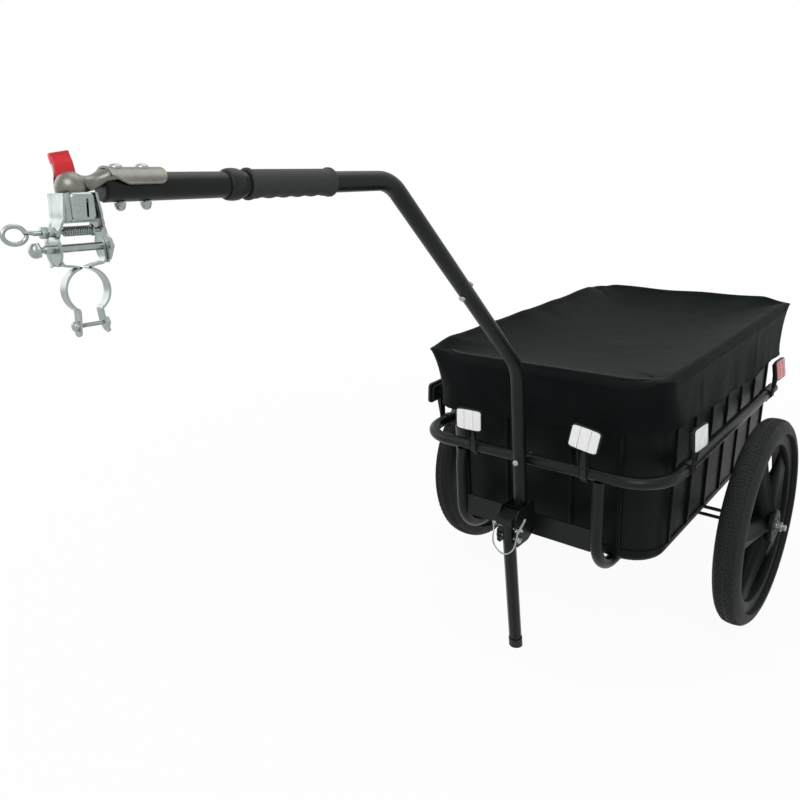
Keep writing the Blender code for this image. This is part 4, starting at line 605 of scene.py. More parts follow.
def make_tubes():
    rail = rounded(
        [
            (-RAIL_HALF, RAIL_END_Y, RAIL_Z),
            (-RAIL_HALF, RAIL_FRONT_Y, RAIL_Z),
            (RAIL_HALF, RAIL_FRONT_Y, RAIL_Z),
            (RAIL_HALF, RAIL_END_Y, RAIL_Z),
        ],
        RAIL_BEND_R,
    )
    seam_step = (Vector(BAR_SEAM) - Vector(BAR_KNEE)).normalized() * GAP
    seam = Vector(BAR_SEAM)
    bar_half = HOOP_X + 0.02
    runs = {
        "waist_rail": (rail, TUBE_R),
        "rear_crossbar": ([(-bar_half, HOOP_REAR_Y, RAIL_Z), (bar_half, HOOP_REAR_Y, RAIL_Z)], TUBE_R),
        "drawbar_lower": (rounded([BAR_FOOT, BAR_KNEE, seam - seam_step], BAR_KNEE_R), BAR_R),
        "tow_tube": ([bar_point(TOW_START), bar_point(0.0)], TOW_R),
    }
    inner = HOOP_X - TUBE_R - GAP
    runs["axle_beam"] = ([(-inner, 0.0, HOOP_RUN_Z), (inner, 0.0, HOOP_RUN_Z)], TUBE_R)
    top = RAIL_Z - TUBE_R - GAP
    for name, side in (("hoop_left", -1), ("hoop_right", 1)):
        x = side * HOOP_X
        middle = (x, 0.0, HOOP_RUN_Z)
        front = rounded([(x, HOOP_FRONT_Y, top - 0.03), (x, HOOP_FRONT_Y, HOOP_RUN_Z), middle], HOOP_BEND_R)
        rear = rounded([middle, (x, HOOP_REAR_Y, HOOP_RUN_Z), (x, HOOP_REAR_Y, top)], HOOP_REAR_BEND_R)
        runs[name] = ([(x, RAIL_FRONT_Y, top)] + front[:-1] + rear[1:], TUBE_R)
    for name, (path, radius) in runs.items():
        bm = bmesh.new()
        sweep(bm, path, radius, sides=28, wall=TUBE_WALL)
        finish_piece(bm, f"{name}_tube", TRAILER, "frame_paint", "frame", [name])
    bm = bmesh.new()
    upper = rounded([seam + seam_step, BAR_ELBOW, bar_point(TOW_START + GAP)], BAR_ELBOW_R)
    sweep(bm, upper, BAR_R, sides=28, wall=TUBE_WALL)
    sweep(bm, [seam - seam_step * 20, seam + seam_step * 20], BAR_R - TUBE_WALL - GAP, sides=24)
    finish_piece(bm, "drawbar_upper_tube", TRAILER, "frame_paint", "frame", ["drawbar_upper"])
    make_grip()


GRIP_WAVES = 6
GRIP_WAVE_DEPTH = 0.0012
GRIP_FLAT = 0.0008
FLANGE_LONG, FLANGE_FADE = 0.004, 0.0025
FLANGE_LIP, FLANGE_LIP_DEPTH = 0.0014, 0.0012
COLLAR_BULGE = 0.0025


def make_grip():
    """A rubber grip with a flange at each end and finger waves underneath, and the collar in front of it."""
    length = GRIP_FAR - GRIP_NEAR
    rows = 96
    rings = []
    for i in range(rows + 1):
        along = i / rows * length
        edge = min(along, length - along)
        wave = 0.5 - 0.5 * math.cos(math.tau * GRIP_WAVES * i / rows)
        flange = ease(1.0 - max(edge - FLANGE_LONG, 0.0) / FLANGE_FADE)
        lip = min(edge / FLANGE_LIP, 1.0)
        ring = []
        for a, b in circle(48):
            under = max(-b, 0.0) ** 1.5
            radius = GRIP_R - GAP + (GRIP_WAVE_DEPTH * wave - GRIP_FLAT) * under
            radius += (GRIP_FLANGE_R - radius) * flange
            radius -= FLANGE_LIP_DEPTH * (1 - math.sqrt(1 - (1 - lip) ** 2))
            ring.append((radius * a, radius * b, along))
        rings.append(ring)
    bm = bmesh.new()
    loops = skin(bm, rings)
    for ring in (loops[0], loops[-1]):
        bore = [bm.verts.new((*(v.co.xy.normalized() * (TOW_R + GAP)), v.co.z)) for v in ring]
        bridge(bm, ring, bore)
    finish_piece(bm, "grip_sleeve", bar_matrix(GRIP_NEAR), "grip_rubber", "frame", ["grip"])
    bm = bmesh.new()
    width = COLLAR_FAR - COLLAR_NEAR
    bore, low = TOW_R + GAP, COLLAR_R - COLLAR_BULGE
    profile = [(bore, 0.0), (low, 0.0)]
    for angle in [math.pi * i / 12 for i in range(13)]:
        profile.append((low + COLLAR_BULGE * math.sin(angle) ** 0.7, width * (0.5 - 0.46 * math.cos(angle))))
    profile += [(low, width), (bore, width)]
    lathe(bm, profile, HERE, 48)
    finish_piece(bm, "grip_collar_ring", bar_matrix(COLLAR_NEAR), "black_plastic", "frame", ["grip_collar"])


# Wheels
TYRE_HALF = 0.0238
RIM_R = 0.174
RIM_HALF = 0.0160
RIM_DEPTH = 0.022
HUB_R = 0.031
HUB_NECK_R = 0.022
HUB_HALF = 0.032
BEARING_R = 0.0110
SPOKES = 5
SPOKE_FIRST = math.radians(31.0)
SPOKE_ROOT_HALF, SPOKE_TIP_HALF = 0.020, 0.031
SPOKE_ROOT_T, SPOKE_TIP_T = 0.0250, 0.0056
TREAD_STEPS = 176
TREAD_ROWS = 9
TREAD_DEPTH = 0.0014
TREAD_GROOVE = 0.0006
TYRE_SEAT = 0.0004
SIDE_STEPS = 14
SIDE_RIDGES = (3, 10)
SIDE_RIDGE = 0.0004
SHOULDER = 60.0


def make_tyre(word, matrix):
    """Round shoulders, two fine sidewall ridges and a tread of small staggered blocks."""
    bm = bmesh.new()
    seat = RIM_R + TYRE_SEAT
    height = WHEEL_RADIUS - RIM_R - TREAD_DEPTH

    def point(degrees, ridge=0.0):
        angle = math.radians(degrees)
        return seat + height * math.sin(angle) ** 0.66, (TYRE_HALF + ridge) * bulge(math.cos(angle), 0.80)

    foot = [(RIM_R - 0.004, RIM_HALF - 0.0026), (seat, RIM_HALF - 0.0022), (seat, RIM_HALF + 0.001)]
    for i in range(SIDE_STEPS + 1):
        foot.append(point(SHOULDER * i / SIDE_STEPS, SIDE_RIDGE if i in SIDE_RIDGES else 0.0))
    tread = [point(SHOULDER + (180.0 - 2 * SHOULDER) * i / TREAD_ROWS) for i in range(1, TREAD_ROWS)]
    other = [(radius, -across) for radius, across in reversed(foot)]
    rows = lathe(bm, foot + tread + other, matrix, TREAD_STEPS)
    first = len(foot) - 1
    blocks = []
    for number, row in enumerate(rows[first - 1 : first + TREAD_ROWS + 1]):
        unbroken = number == TREAD_ROWS // 2 + 1
        blocks += [face for k, face in enumerate(row) if unbroken or (k + number) % 2 == 0]
    bmesh.ops.recalc_face_normals(bm, faces=bm.faces)
    bmesh.ops.inset_individual(bm, faces=blocks, thickness=TREAD_GROOVE, depth=0.0)
    for face in blocks:
        lift = face.normal * TREAD_DEPTH
        for vert in face.verts:
            vert.co += lift
    finish_piece(bm, f"tyre_{word}_treaded", HERE, "tyre_rubber", f"wheel_{word}", [f"tyre_{word}"], 32.0)


SPOKE_CROWN = 0.28
SPOKE_ROOT_SHARE = 0.8
SPOKE_INTO_RIM = 0.004
SPOKE_FOOT, SPOKE_FOOT_FROM = 0.012, 0.86
# A rib on the hub: length, width and corner
HUB_RIB = (0.014, 0.0022, 0.0009)

def make_mag(word, matrix):
    """A moulded wheel: rolled rim, five broad leaf spokes with soft ridges, and a stepped hub."""
    bm = bmesh.new()
    low = RIM_R - RIM_DEPTH
    lip = [
        (RIM_R - 0.0100, RIM_HALF - 0.0024),
        (RIM_R - 0.0006, RIM_HALF - 0.0020),
        (RIM_R, RIM_HALF - 0.0012),
        (RIM_R, RIM_HALF - 0.0004),
        (RIM_R - 0.0006, RIM_HALF),
        (RIM_R - 0.0030, RIM_HALF),
        (RIM_R - 0.0042, RIM_HALF - 0.0007),
        (low + 0.0045, RIM_HALF - 0.0016),
        (low + 0.0012, RIM_HALF - 0.0022),
        (low, RIM_HALF - 0.0040),
    ]
    lathe(bm, mirrored(lip), matrix, 128, closed=True)
    hub = [
        (BEARING_R + 0.0002, HUB_HALF - 0.0010),
        (HUB_R - 0.013, HUB_HALF - 0.0010),
        (HUB_R - 0.012, HUB_HALF - 0.0002),
        (HUB_R - 0.0035, HUB_HALF - 0.0002),
        (HUB_R - 0.001, HUB_HALF - 0.0012),
        (HUB_R, HUB_HALF - 0.0035),
        (HUB_R, HUB_HALF - 0.008),
        (HUB_R - 0.002, HUB_HALF - 0.010),
        (HUB_NECK_R + 0.001, HUB_HALF - 0.0135),
        (HUB_NECK_R, HUB_HALF - 0.017),
    ]
    lathe(bm, mirrored(hub), matrix, 96, closed=True)
    root, reach = HUB_NECK_R * SPOKE_ROOT_SHARE, low + SPOKE_INTO_RIM
    stations = 22
    for number in range(SPOKES):
        turn = matrix @ Matrix.Rotation(SPOKE_FIRST + math.tau * number / SPOKES, 4, "Z")
        rings = []
        for share in [i / stations for i in range(stations + 1)]:
            along = root + (reach - root) * share
            waist = SPOKE_ROOT_HALF + (SPOKE_TIP_HALF - SPOKE_ROOT_HALF) * share**1.6
            waist += SPOKE_FOOT * max((share - SPOKE_FOOT_FROM) / (1 - SPOKE_FOOT_FROM), 0.0) ** 2
            thick = SPOKE_ROOT_T + (SPOKE_TIP_T - SPOKE_ROOT_T) * share
            ring = []
            for a, b in circle(28):
                crown = 1.0 + SPOKE_CROWN * math.exp(-((a / 0.16) ** 2))
                ring.append(turn @ Vector((along, waist * a, thick * bulge(b, 0.9) * crown)))
            rings.append(ring)
        skin(bm, rings)
    rib = rounded_box(*HUB_RIB, 3)
    for k in range(2 * SPOKES):
        turn = matrix @ Matrix.Rotation(SPOKE_FIRST + math.pi * (k + 0.5) / SPOKES, 4, "Z")
        spot = turn @ moved((HUB_R + HUB_NECK_R) / 2 - 0.004, 0.0, 0.0)
        for sign in (-1, 1):
            prism(bm, rib, sign * (HUB_HALF - 0.016), sign * (HUB_HALF - 0.0095), spot)
    finish_piece(bm, f"mag_{word}_moulded", HERE, "mag_plastic", f"wheel_{word}", [f"mag_wheel_{word}"], 35.0)


def make_wheels():
    for word, side in (("left", -1), ("right", 1)):
        matrix = AXLE @ moved(side * TRACK_HALF, 0.0, 0.0) @ SIDEWAYS
        make_tyre(word, matrix)
        make_mag(word, matrix)


# Crate
CRATE_BOTTOM_Z = HOOP_RUN_Z + TUBE_R + GAP
CRATE_TOP_Z = 0.5435
CRATE_WALL = 0.003
CRATE_FRONT, CRATE_REAR = -0.2955, 0.3780
CRATE_HALF = 0.2140
CRATE_TAPER = 0.0062
CRATE_CORNER_R = 0.062
CRATE_FILLET = 0.014
CRATE_RIM_OUT = 0.0042
CRATE_RIM_H = 0.014
RIB_OUT = 0.0035
RIB_WIDTH = 0.0070
RIB_Z = (0.2255, 0.500)
FRONT_RIBS = (-0.157, -0.0655, 0.0655, 0.157)
SIDE_RIBS = (-0.2228, -0.1348, -0.0468, 0.0412, 0.1292, 0.2172, 0.3052)
BAND_Z = (0.2290, 0.4930)


def rectangle(half, front, rear, radii, steps=10, sides=(12, 8)):
    """Points round a rectangle, counter-clockwise from the front right corner; one radius for each corner."""
    corners = (
        (half, front, -math.pi / 2, 1, -1),
        (half, rear, 0.0, 1, 1),
        (-half, rear, math.pi / 2, -1, 1),
        (-half, front, math.pi, -1, -1),
    )
    points = []
    for (x, y, start, sx, sy), radius in zip(corners, radii):
        points.append(arc((x - sx * radius, y - sy * radius), radius, start, start + math.pi / 2, steps))
    outline = []
    for corner, following, count in zip(points, points[1:] + points[:1], sides * 2):
        outline += corner
        end, start = Vector(following[0]), Vector(corner[-1])
        outline += [tuple(start + (end - start) * i / count) for i in range(1, count)]
    return outline


def crate_grow(height):
    return CRATE_TAPER * (height - CRATE_BOTTOM_Z) / (CRATE_TOP_Z - CRATE_BOTTOM_Z)


def crate_ring(inset, height):
    grow = crate_grow(height) - inset
    radii = [CRATE_CORNER_R + grow] * 4
    outline = rectangle(CRATE_HALF + grow, CRATE_FRONT - grow, CRATE_REAR + grow, radii, 12)
    return [(x, y, height) for x, y in outline]


def crate_fillet(inset, height, radius, steps):
    """The curve from the floor up into the wall, as (inset, height) points."""
    angles = [math.pi / 2 * i / steps for i in range(steps + 1)]
    return [(inset + radius * (1 - math.sin(a)), height + radius * (1 - math.cos(a))) for a in angles]


def make_crate():
    """A thin moulded tub: rolled rim, soft foot, upright ribs and a band round its top and bottom."""
    bm = bmesh.new()
    rim_low = CRATE_TOP_Z - CRATE_RIM_H
    levels = crate_fillet(0.0, CRATE_BOTTOM_Z, CRATE_FILLET, 8)
    levels += [(0.0, rim_low - 0.002), (-0.0008, rim_low), (0.0006 - CRATE_RIM_OUT, rim_low + 0.0006)]
    levels += [(-CRATE_RIM_OUT, rim_low + 0.0014), (-CRATE_RIM_OUT, CRATE_TOP_Z - 0.0015)]
    levels += [(0.0005 - CRATE_RIM_OUT, CRATE_TOP_Z - 0.0005), (0.0015 - CRATE_RIM_OUT, CRATE_TOP_Z)]
    levels += [(CRATE_WALL - 0.0006, CRATE_TOP_Z), (CRATE_WALL, CRATE_TOP_Z - 0.0006)]
    levels += crate_fillet(CRATE_WALL, CRATE_BOTTOM_Z + CRATE_WALL, CRATE_FILLET - CRATE_WALL, 6)[::-1]
    skin(bm, [crate_ring(inset, height) for inset, height in levels], True, True)
    for y, sign in ((CRATE_FRONT, -1), (CRATE_REAR, 1)):
        for x in FRONT_RIBS:
            add_rib(bm, x, y, (0.0, sign))
    for sign in (-1, 1):
        for y in SIDE_RIBS:
            add_rib(bm, sign * CRATE_HALF, y, (sign, 0.0))
    for height in BAND_Z:
        skin(bm, [crate_ring(inset, height + rise) for inset, rise in BAND])
    # The crate is drawn in its darker copy of the black plastic, which is painted shade.
    finish_piece(bm, "crate_tub", TRAILER, "black_plastic", "crate", ["crate"], 38.0, "crate_plastic_painted_shade")


# A band's section as inset and rise; a rib's section and its stations, as shares of its own sizes
BAND = ((0.0008, -0.0034), (-0.0016, -0.0024), (-0.0020, 0.0), (-0.0016, 0.0024), (0.0008, 0.0034))
RIB_HALF_SECTION = ((-0.5, -0.3), (-0.5, 0.72), (-0.40, 0.94), (-0.2, 1.0))
RIB_SECTION = RIB_HALF_SECTION + tuple((-u, v) for u, v in reversed(RIB_HALF_SECTION))
RIB_STATIONS = ((0.0, 0.05), (0.014, 0.9), (0.02, 1.0), (0.98, 1.0), (1.0, 0.6))


def add_rib(bm, x, y, out):
    """An upright rib with rounded long edges and a pointed foot, on the wall that faces out."""
    made = bmesh.new()
    along = Vector((-out[1], out[0], 0.0))
    out = Vector((*out, 0.0))
    foot, head = (Vector((x, y, height)) + out * crate_grow(height) for height in RIB_Z)
    rings = []
    for share, depth in RIB_STATIONS:
        base = foot.lerp(head, share)
        rings.append([base + along * (RIB_WIDTH * u) + out * (RIB_OUT * v * depth) for u, v in RIB_SECTION])
    skin(made, rings, True, True)
    join(bm, made)


# Cover: offsets are measured outwards from the crate's rim
COVER_T = 0.0011
COVER_EASE = 0.0040
COVER_CORNERS = (0.030, 0.006, 0.030, 0.006)
COVER_FOOT_CORNER = 0.060
COVER_SAG = 0.034
LEFT_LIFT = 0.0110
REAR_LIFT = 0.0110
RIGHT_LIFT = 0.0020
FRONT_DROP = 0.0165
SKIRT_FLARE = 0.0030
HEM_R = 0.0016
HEM_Z = 0.437
HEM_RISE = 0.019
EDGE_OVER_RIM = 0.0028
EDGE_DROP = 0.0065
SEAM_OVER_RIM = 0.0005
SEAM_UNDER_EDGE = 0.002
RIGHT_SEAM_DROP = 0.010
FOLD_DEPTH, FINE_DEPTH = 0.0030, 0.0009
CREASE_HALF = 0.007
SKIRT_TUCK = 0.0035
SKIRT_HOLLOW = 0.0020
SAG_OVER_RIM = 0.003
SAG_START = 0.045
PUCKER, PUCKER_FADE = 0.0010, 0.03


def side_shares(x, y, half, front, rear):
    """How much an outline's point belongs to the front, right, rear and left sides, less near the corners."""
    u = x / half
    v = (2 * y - front - rear) / (rear - front)
    fade = 0.24
    front_share = max(0.0, 1 - (v + 1) / 0.02) * bell(u, fade)
    rear_share = max(0.0, 1 - (1 - v) / 0.02) * bell(u, fade)
    right_share = max(0.0, 1 - (1 - u) / 0.03) * bell(v, fade * 0.7)
    left_share = max(0.0, 1 - (u + 1) / 0.03) * bell(v, fade * 0.7)
    return front_share, right_share, rear_share, left_share


def bell(value, fade):
    """1 in the middle of a side and 0 at its ends, with a smooth step of this width."""
    return ease((1 - abs(value)) / fade)


def cover_profile(x, y, half, front, rear):
    """(edge height, seam height, hem height) at a point of the outline."""
    f, r, b, l = side_shares(x, y, half, front, rear)
    back_left = math.hypot(x + half, y - rear)
    keep = math.exp(-((back_left / 0.11) ** 2))
    l, b = max(l, 0.5 * keep), max(b, 0.5 * keep)
    edge = CRATE_TOP_Z + EDGE_OVER_RIM + LEFT_LIFT * l + REAR_LIFT * b + RIGHT_LIFT * r
    edge += 0.0012 * math.sin(47 * y + 1.0) * l + 0.0010 * math.sin(39 * x) * b
    edge -= EDGE_DROP * f
    seam = CRATE_TOP_Z + SEAM_OVER_RIM - FRONT_DROP * f + (LEFT_LIFT - SEAM_UNDER_EDGE) * l
    seam += (REAR_LIFT - SEAM_UNDER_EDGE) * b - RIGHT_SEAM_DROP * r
    share = 0.5 + 0.5 * x / half
    ahead = max(0.0, min(1.0, (0.1 - y) / 0.4))
    hem = HEM_Z + HEM_RISE * share**3 * ahead + 0.004 * share + 0.0025 * math.sin(31 * x + 23 * y)
    return edge, seam, hem


def fold_wave(x, y, hang):
    """Loose upright folds of the skirt, and a few sharper creases, as an offset outwards."""
    turn = math.atan2(y - 0.04, x * 1.5)
    wave = 0.5 + 0.5 * math.sin(17 * turn + 1.7 * math.sin(5 * turn) + 0.8 * hang)
    fine = 0.5 + 0.5 * math.sin(43 * turn + 2.3 * math.sin(11 * turn) + 2.0 * hang)
    crease = 0.0
    for at_x, at_y, lean, depth in CREASES:
        away = math.hypot(x - at_x - lean * hang, y - at_y)
        crease += depth * math.exp(-((away / CREASE_HALF) ** 2)) * math.sin(math.pi * min(hang * 1.1, 1.0))
    return (FOLD_DEPTH * wave + FINE_DEPTH * fine) * hang**1.3 + crease


# Creases: where, how far each leans as it comes down, and how deep it is
CREASES = (
    (0.095, -0.303, -0.030, 0.0030),
    (0.160, -0.303, 0.004, 0.0026),
    (0.192, -0.298, 0.003, 0.0034),
    (0.213, -0.280, 0.0, 0.0030),
    (-0.080, -0.303, 0.006, 0.0018),
    (0.226, -0.150, 0.0, 0.0022),
    (0.226, 0.160, 0.0, 0.0020),
    (-0.226, 0.100, 0.0, 0.0022),
    (-0.226, -0.180, 0.0, 0.0018),
    (0.060, 0.388, 0.006, 0.0022),
)
SKIRT_ROWS = 16
PIPING_R = 0.0013
# The rolled edge from seam to top, and the rings of the top, by how far they stand out or in
EDGE_RINGS = ((0.0026, 0.22), (0.0004, 0.58), (-0.0030, 0.88), (-0.0085, 1.0))
TOP_INSETS = (0.010, 0.018, 0.028, 0.040, 0.054, 0.070, 0.088, 0.108, 0.128, 0.148, 0.168, 0.188, 0.206)


def make_cover():
    """The fitted cover: its top sags into the crate, its corners stand out, and its skirt hangs in folds."""
    half = CRATE_HALF + CRATE_TAPER + CRATE_RIM_OUT
    front = CRATE_FRONT - CRATE_TAPER - CRATE_RIM_OUT
    rear = CRATE_REAR + CRATE_TAPER + CRATE_RIM_OUT

    def outline(grow, hang=0.0):
        radii = [max(r + grow * (1 if grow < 0 else 0.5), 0.002) for r in COVER_CORNERS]
        radii = [r + (COVER_FOOT_CORNER - r) * min(hang * 1.25, 1.0) ** 0.75 for r in radii]
        return rectangle(half + grow, front - grow, rear + grow, radii, 10, (78, 50))

    nominal = outline(0.0)
    rings = []
    for i in range(SKIRT_ROWS + 1):
        hang = 1.0 - i / SKIRT_ROWS
        ring = []
        base = outline(COVER_EASE + SKIRT_TUCK * (1 - hang) ** 3, hang)
        for k, (x, y) in enumerate(base):
            edge, seam, hem = cover_profile(*nominal[k], half, front, rear)
            before, after = Vector(base[k - 1]), Vector(base[(k + 1) % len(base)])
            run = (after - before).normalized()
            out = Vector((run.y, -run.x))
            z = hem + (seam - hem) * (1 - hang)
            off = SKIRT_FLARE * hang**0.8 + fold_wave(x, y, hang)
            off -= SKIRT_HOLLOW * math.sin(math.pi * hang) * (1 - hang)
            ring.append((x + out.x * off, y + out.y * off, z))
        rings.append(ring)
    seam_row = len(rings) - 1
    for grow, up in EDGE_RINGS:
        ring = []
        for k, (x, y) in enumerate(outline(COVER_EASE + grow)):
            edge, seam, hem = cover_profile(*nominal[k], half, front, rear)
            ring.append((x, y, seam + (edge - seam) * up))
        rings.append(ring)
    middle = (front + rear) / 2
    flat = CRATE_TOP_Z + SAG_OVER_RIM
    for inset in TOP_INSETS:
        ring = []
        near = math.exp(-((inset / SAG_START) ** 1.2))
        for k, (x, y) in enumerate(outline(-inset)):
            edge, seam, hem = cover_profile(*nominal[k], half, front, rear)
            u = min(abs(x) / half, 1.0)
            v = min(abs(y - middle) / ((rear - front) / 2), 1.0)
            sag = COVER_SAG * ((1 - u**2.4) * (1 - v**3.2)) ** 0.9
            pucker = PUCKER * math.sin(k * 0.55) * math.exp(-inset / PUCKER_FADE)
            ring.append((x, y, flat + (edge - flat) * near - sag + pucker))
        rings.append(ring)
    bm = bmesh.new()
    loops = skin(bm, rings, False, True)
    for edge in bm.edges:
        if edge.verts[0] in loops[seam_row] and edge.verts[1] in loops[seam_row]:
            edge.smooth = False
    hem_path = [v.co.copy() for v in loops[0]]
    seam_path = [v.co.copy() for v in loops[seam_row]]
    mesh = bpy.data.meshes.new("cover_sheet")
    bm.to_mesh(mesh)
    bm.free()
    mesh.transform(TRAILER)
    cover = bpy.data.objects.new("cover_sheet", mesh)
    SCENE.collection.objects.link(cover)
    mesh.materials.append(MATERIALS["cover_cloth"])
    shell = cover.modifiers.new("cloth", "SOLIDIFY")
    shell.thickness = COVER_T
    shell.offset = 0.0
    apply_modifiers(cover)
    cover.data.shade_smooth()
    cover.data.set_sharp_from_angle(angle=math.radians(60.0))
    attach(cover, "cover")
    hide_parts("cover")
    hem = bmesh.new()
    sweep(hem, hem_path, HEM_R, 10, closed=True)
    hem = finish_piece(hem, "cover_hem", TRAILER, "cover_cloth", "cover", sharp=60.0)
    cord = bmesh.new()
    sweep(cord, [p + Vector((0.0, 0.0, 0.0002)) for p in seam_path], PIPING_R, 8, closed=True)
    cord = finish_piece(cord, "cover_piping", TRAILER, "cover_cloth", "cover", sharp=60.0)
    drop = CRATE_TOP_Z - HEM_Z
    width, length = 2 * half, rear - front
    flat = (width + 2 * drop, length + 2 * drop)


def apply_modifiers(piece):
    graph = bpy.context.evaluated_depsgraph_get()
    mesh = bpy.data.meshes.new_from_object(piece.evaluated_get(graph))
    piece.modifiers.clear()
    piece.data = mesh


# Reflectors: the arm's spot on the rail, its heading, the lamp's shift along the rail and its rise,
# its turn, roll and lean in degrees, and its lens
REFLECTORS = (
    ("front_left", (-0.1065, RAIL_FRONT_Y), 0.0, 0.0008, 0.0590, 6.0, 1.0, 0.0, "white_lens"),
    ("front_right", (0.1126, RAIL_FRONT_Y), 0.0, 0.0080, 0.0690, 2.0, 10.0, 6.0, "white_lens"),
    ("side_right", (RAIL_HALF, -0.2340), 90.0, -0.0074, 0.0615, -4.0, 0.0, 4.0, "white_lens"),
    ("side_left", (-RAIL_HALF, -0.2500), -90.0, 0.0060, 0.0600, 3.0, 0.0, 4.0, "white_lens"),
    ("rear_right", (RAIL_HALF, 0.2320), 90.0, -0.0020, 0.0585, -3.0, 0.0, 9.0, "red_lens"),
    ("rear_left", (-RAIL_HALF, 0.2320), -90.0, 0.0020, 0.0585, 3.0, 0.0, 6.0, "red_lens"),
)
LAMP_W, LAMP_H, LAMP_T = 0.0530, 0.0400, 0.0100
LAMP_FACE = 0.0128
LAMP_CORNER_R = 0.0070
ARM_T, ARM_W = 0.0022, 0.0130
# The bands of a lens across its width, with their columns of prisms, and the rows of all
LENS_BANDS = ((-0.5, -0.19, 8), (-0.19, 0.19, 10), (0.19, 0.5, 8))
LENS_ROWS = 16
LENS_GAP = 0.00035
SWELL = 0.05
PRISM_RISE = 0.00024


def barrel(width, height, radius):
    """A rounded rectangle whose long sides swell a little."""
    outline = rounded_box(width, height, radius, 9)
    return [(x, y * (1 + SWELL * (1 - (2 * x / width) ** 2))) for x, y in outline]


def lens_band(bm, face, band, wide, tall):
    """One band of moulded prisms, domed, with a clear bevelled edge."""
    start, end, columns = band
    central = start < 0 < end
    left, right = start * wide + LENS_GAP, end * wide - LENS_GAP
    grid = bmesh.new()
    points = []
    for j in range(LENS_ROWS + 1):
        line = []
        for i in range(columns + 1):
            u = i / columns
            px = left + (right - left) * u
            swell = 1 + SWELL * (1 - (2 * px / wide) ** 2)
            corner = max(abs(px) - (wide / 2 - LAMP_CORNER_R + 0.0015), 0.0) / LAMP_CORNER_R
            py = (j / LENS_ROWS - 0.5) * tall * swell * (1 - 0.22 * corner**2)
            dome = 1 - (px / (wide / 2)) ** 4 * 0.7 - (py / (tall / 2)) ** 4 * 0.6
            rim = min(min(u, 1 - u) * (right - left) / 0.0008, 1.0)
            ridge = PRISM_RISE * (i % 2 if central else (i + j) % 2)
            line.append(grid.verts.new((px, py, 0.0003 + 0.0012 * dome * (0.7 + 0.3 * rim) + ridge)))
        points.append(line)
    for below, above in zip(points, points[1:]):
        for i in range(columns):
            grid.faces.new((below[i], below[i + 1], above[i + 1], above[i]))
    border = [edge for edge in grid.edges if len(edge.link_faces) == 1]
    walls = bmesh.ops.extrude_edge_only(grid, edges=border)["geom"]
    for v in (g for g in walls if isinstance(g, bmesh.types.BMVert)):
        v.co.z = -0.0012
    join(bm, grid, face)


LENS_W, LENS_H = LAMP_W - 0.0040, LAMP_H - 0.0042
LIP_W, LIP_H, LIP_CORNER_R, LIP_R = LAMP_W - 0.0016, LAMP_H - 0.0016, LAMP_CORNER_R - 0.0006, 0.0009
# The shell's rim and its back, from the lens's foot backwards
SHELL_FRONT, SHELL_BACK, BACK_FRONT = -0.0006, -0.0052, -0.0046
CLIP_R = TUBE_R + 0.0019
CLIP_EDGE = 0.0003
LUG_RISE = 0.0030
ARM_FOOT = -0.0040
ARM_UNDER_LAMP = 0.0130
ARM_SCREW = 0.0120


def make_lamp(name, face, colour):
    """The lens, and a thin-rimmed shell behind it; gives the shell's mesh."""
    bm = bmesh.new()
    for band in LENS_BANDS:
        lens_band(bm, face, band, LENS_W, LENS_H)
    seen = colour if colour == "red_lens" else "bright_lens"
    finish_piece(bm, f"{name}_lens", HERE, colour, "frame", [f"lens_{name}"], 20.0, seen)
    bm = bmesh.new()
    prism(bm, barrel(LAMP_W, LAMP_H, LAMP_CORNER_R), SHELL_BACK, SHELL_FRONT, face, 0.0008, 2)
    rear = barrel(LAMP_W - 0.010, LAMP_H - 0.010, LAMP_CORNER_R - 0.002)
    prism(bm, rear, -LAMP_T, BACK_FRONT, face, 0.0020, 3)
    lip = [face @ Vector((x, y, -0.0002)) for x, y in barrel(LIP_W, LIP_H, LIP_CORNER_R)]
    sweep(bm, lip, LIP_R, 10, closed=True)
    return bm


def make_reflectors():
    """Each lamp stands on a channel arm, which a clip holds on the rail."""
    front = turned(90.0, "X")
    side = axes(-BACK, UP, RIGHT)
    near = TUBE_R + GAP
    half = ARM_W / 2
    for name, (x, y), heading, shift, rise, turn, roll, lean, colour in REFLECTORS:
        rail = TRAILER @ moved(x, y, RAIL_Z) @ turned(heading, "Z")
        face = rail @ moved(shift, -near - LAMP_FACE, rise) @ turned(turn, "Z") @ turned(roll, "Y")
        bm = make_lamp(name, face @ turned(-lean, "X") @ front, colour)
        top = rise - ARM_UNDER_LAMP
        arm = rail @ front
        plate = [(-half, ARM_FOOT), (half, ARM_FOOT), (half + 0.0012, top), (-half - 0.0012, top)]
        prism(bm, plate, near, near + ARM_T, arm, 0.0004, 2)
        flange = [(near, ARM_FOOT), (near + ARM_T + 0.0010, ARM_FOOT), (near + ARM_T + 0.0014, 0.0100)]
        flange += [(near + LAMP_T, top), (near, top)]
        for at in (0.0002 - half, half - 0.0002):
            prism(bm, flange, at - 0.0008, at + 0.0008, rail @ side, 0.0003, 1)
        crossbar = arm @ moved(0.0, top - 0.0120, near)
        prism(bm, rounded_box(ARM_W, 0.0022, 0.0008, 3), 0.0, 0.0034, crossbar, 0.0004, 1)
        dome_head(bm, 0.0026, 0.0016, arm @ moved(0.0, ARM_SCREW, near + ARM_T))
        clip = [(near, -half), (CLIP_R - CLIP_EDGE, -half), (CLIP_R, CLIP_EDGE - half)]
        lathe(bm, mirrored(clip), rail @ turned(90.0, "Y"), 48, closed=True)
        lug = rounded_box(ARM_W, 0.0085, 0.0010, 3)
        prism(bm, lug, -CLIP_R - LUG_RISE, -CLIP_R + 0.0006, rail, 0.0005, 2)
        finish_piece(bm, f"{name}_housing", HERE, "black_plastic", "frame", [f"reflector_{name}"], 35.0)


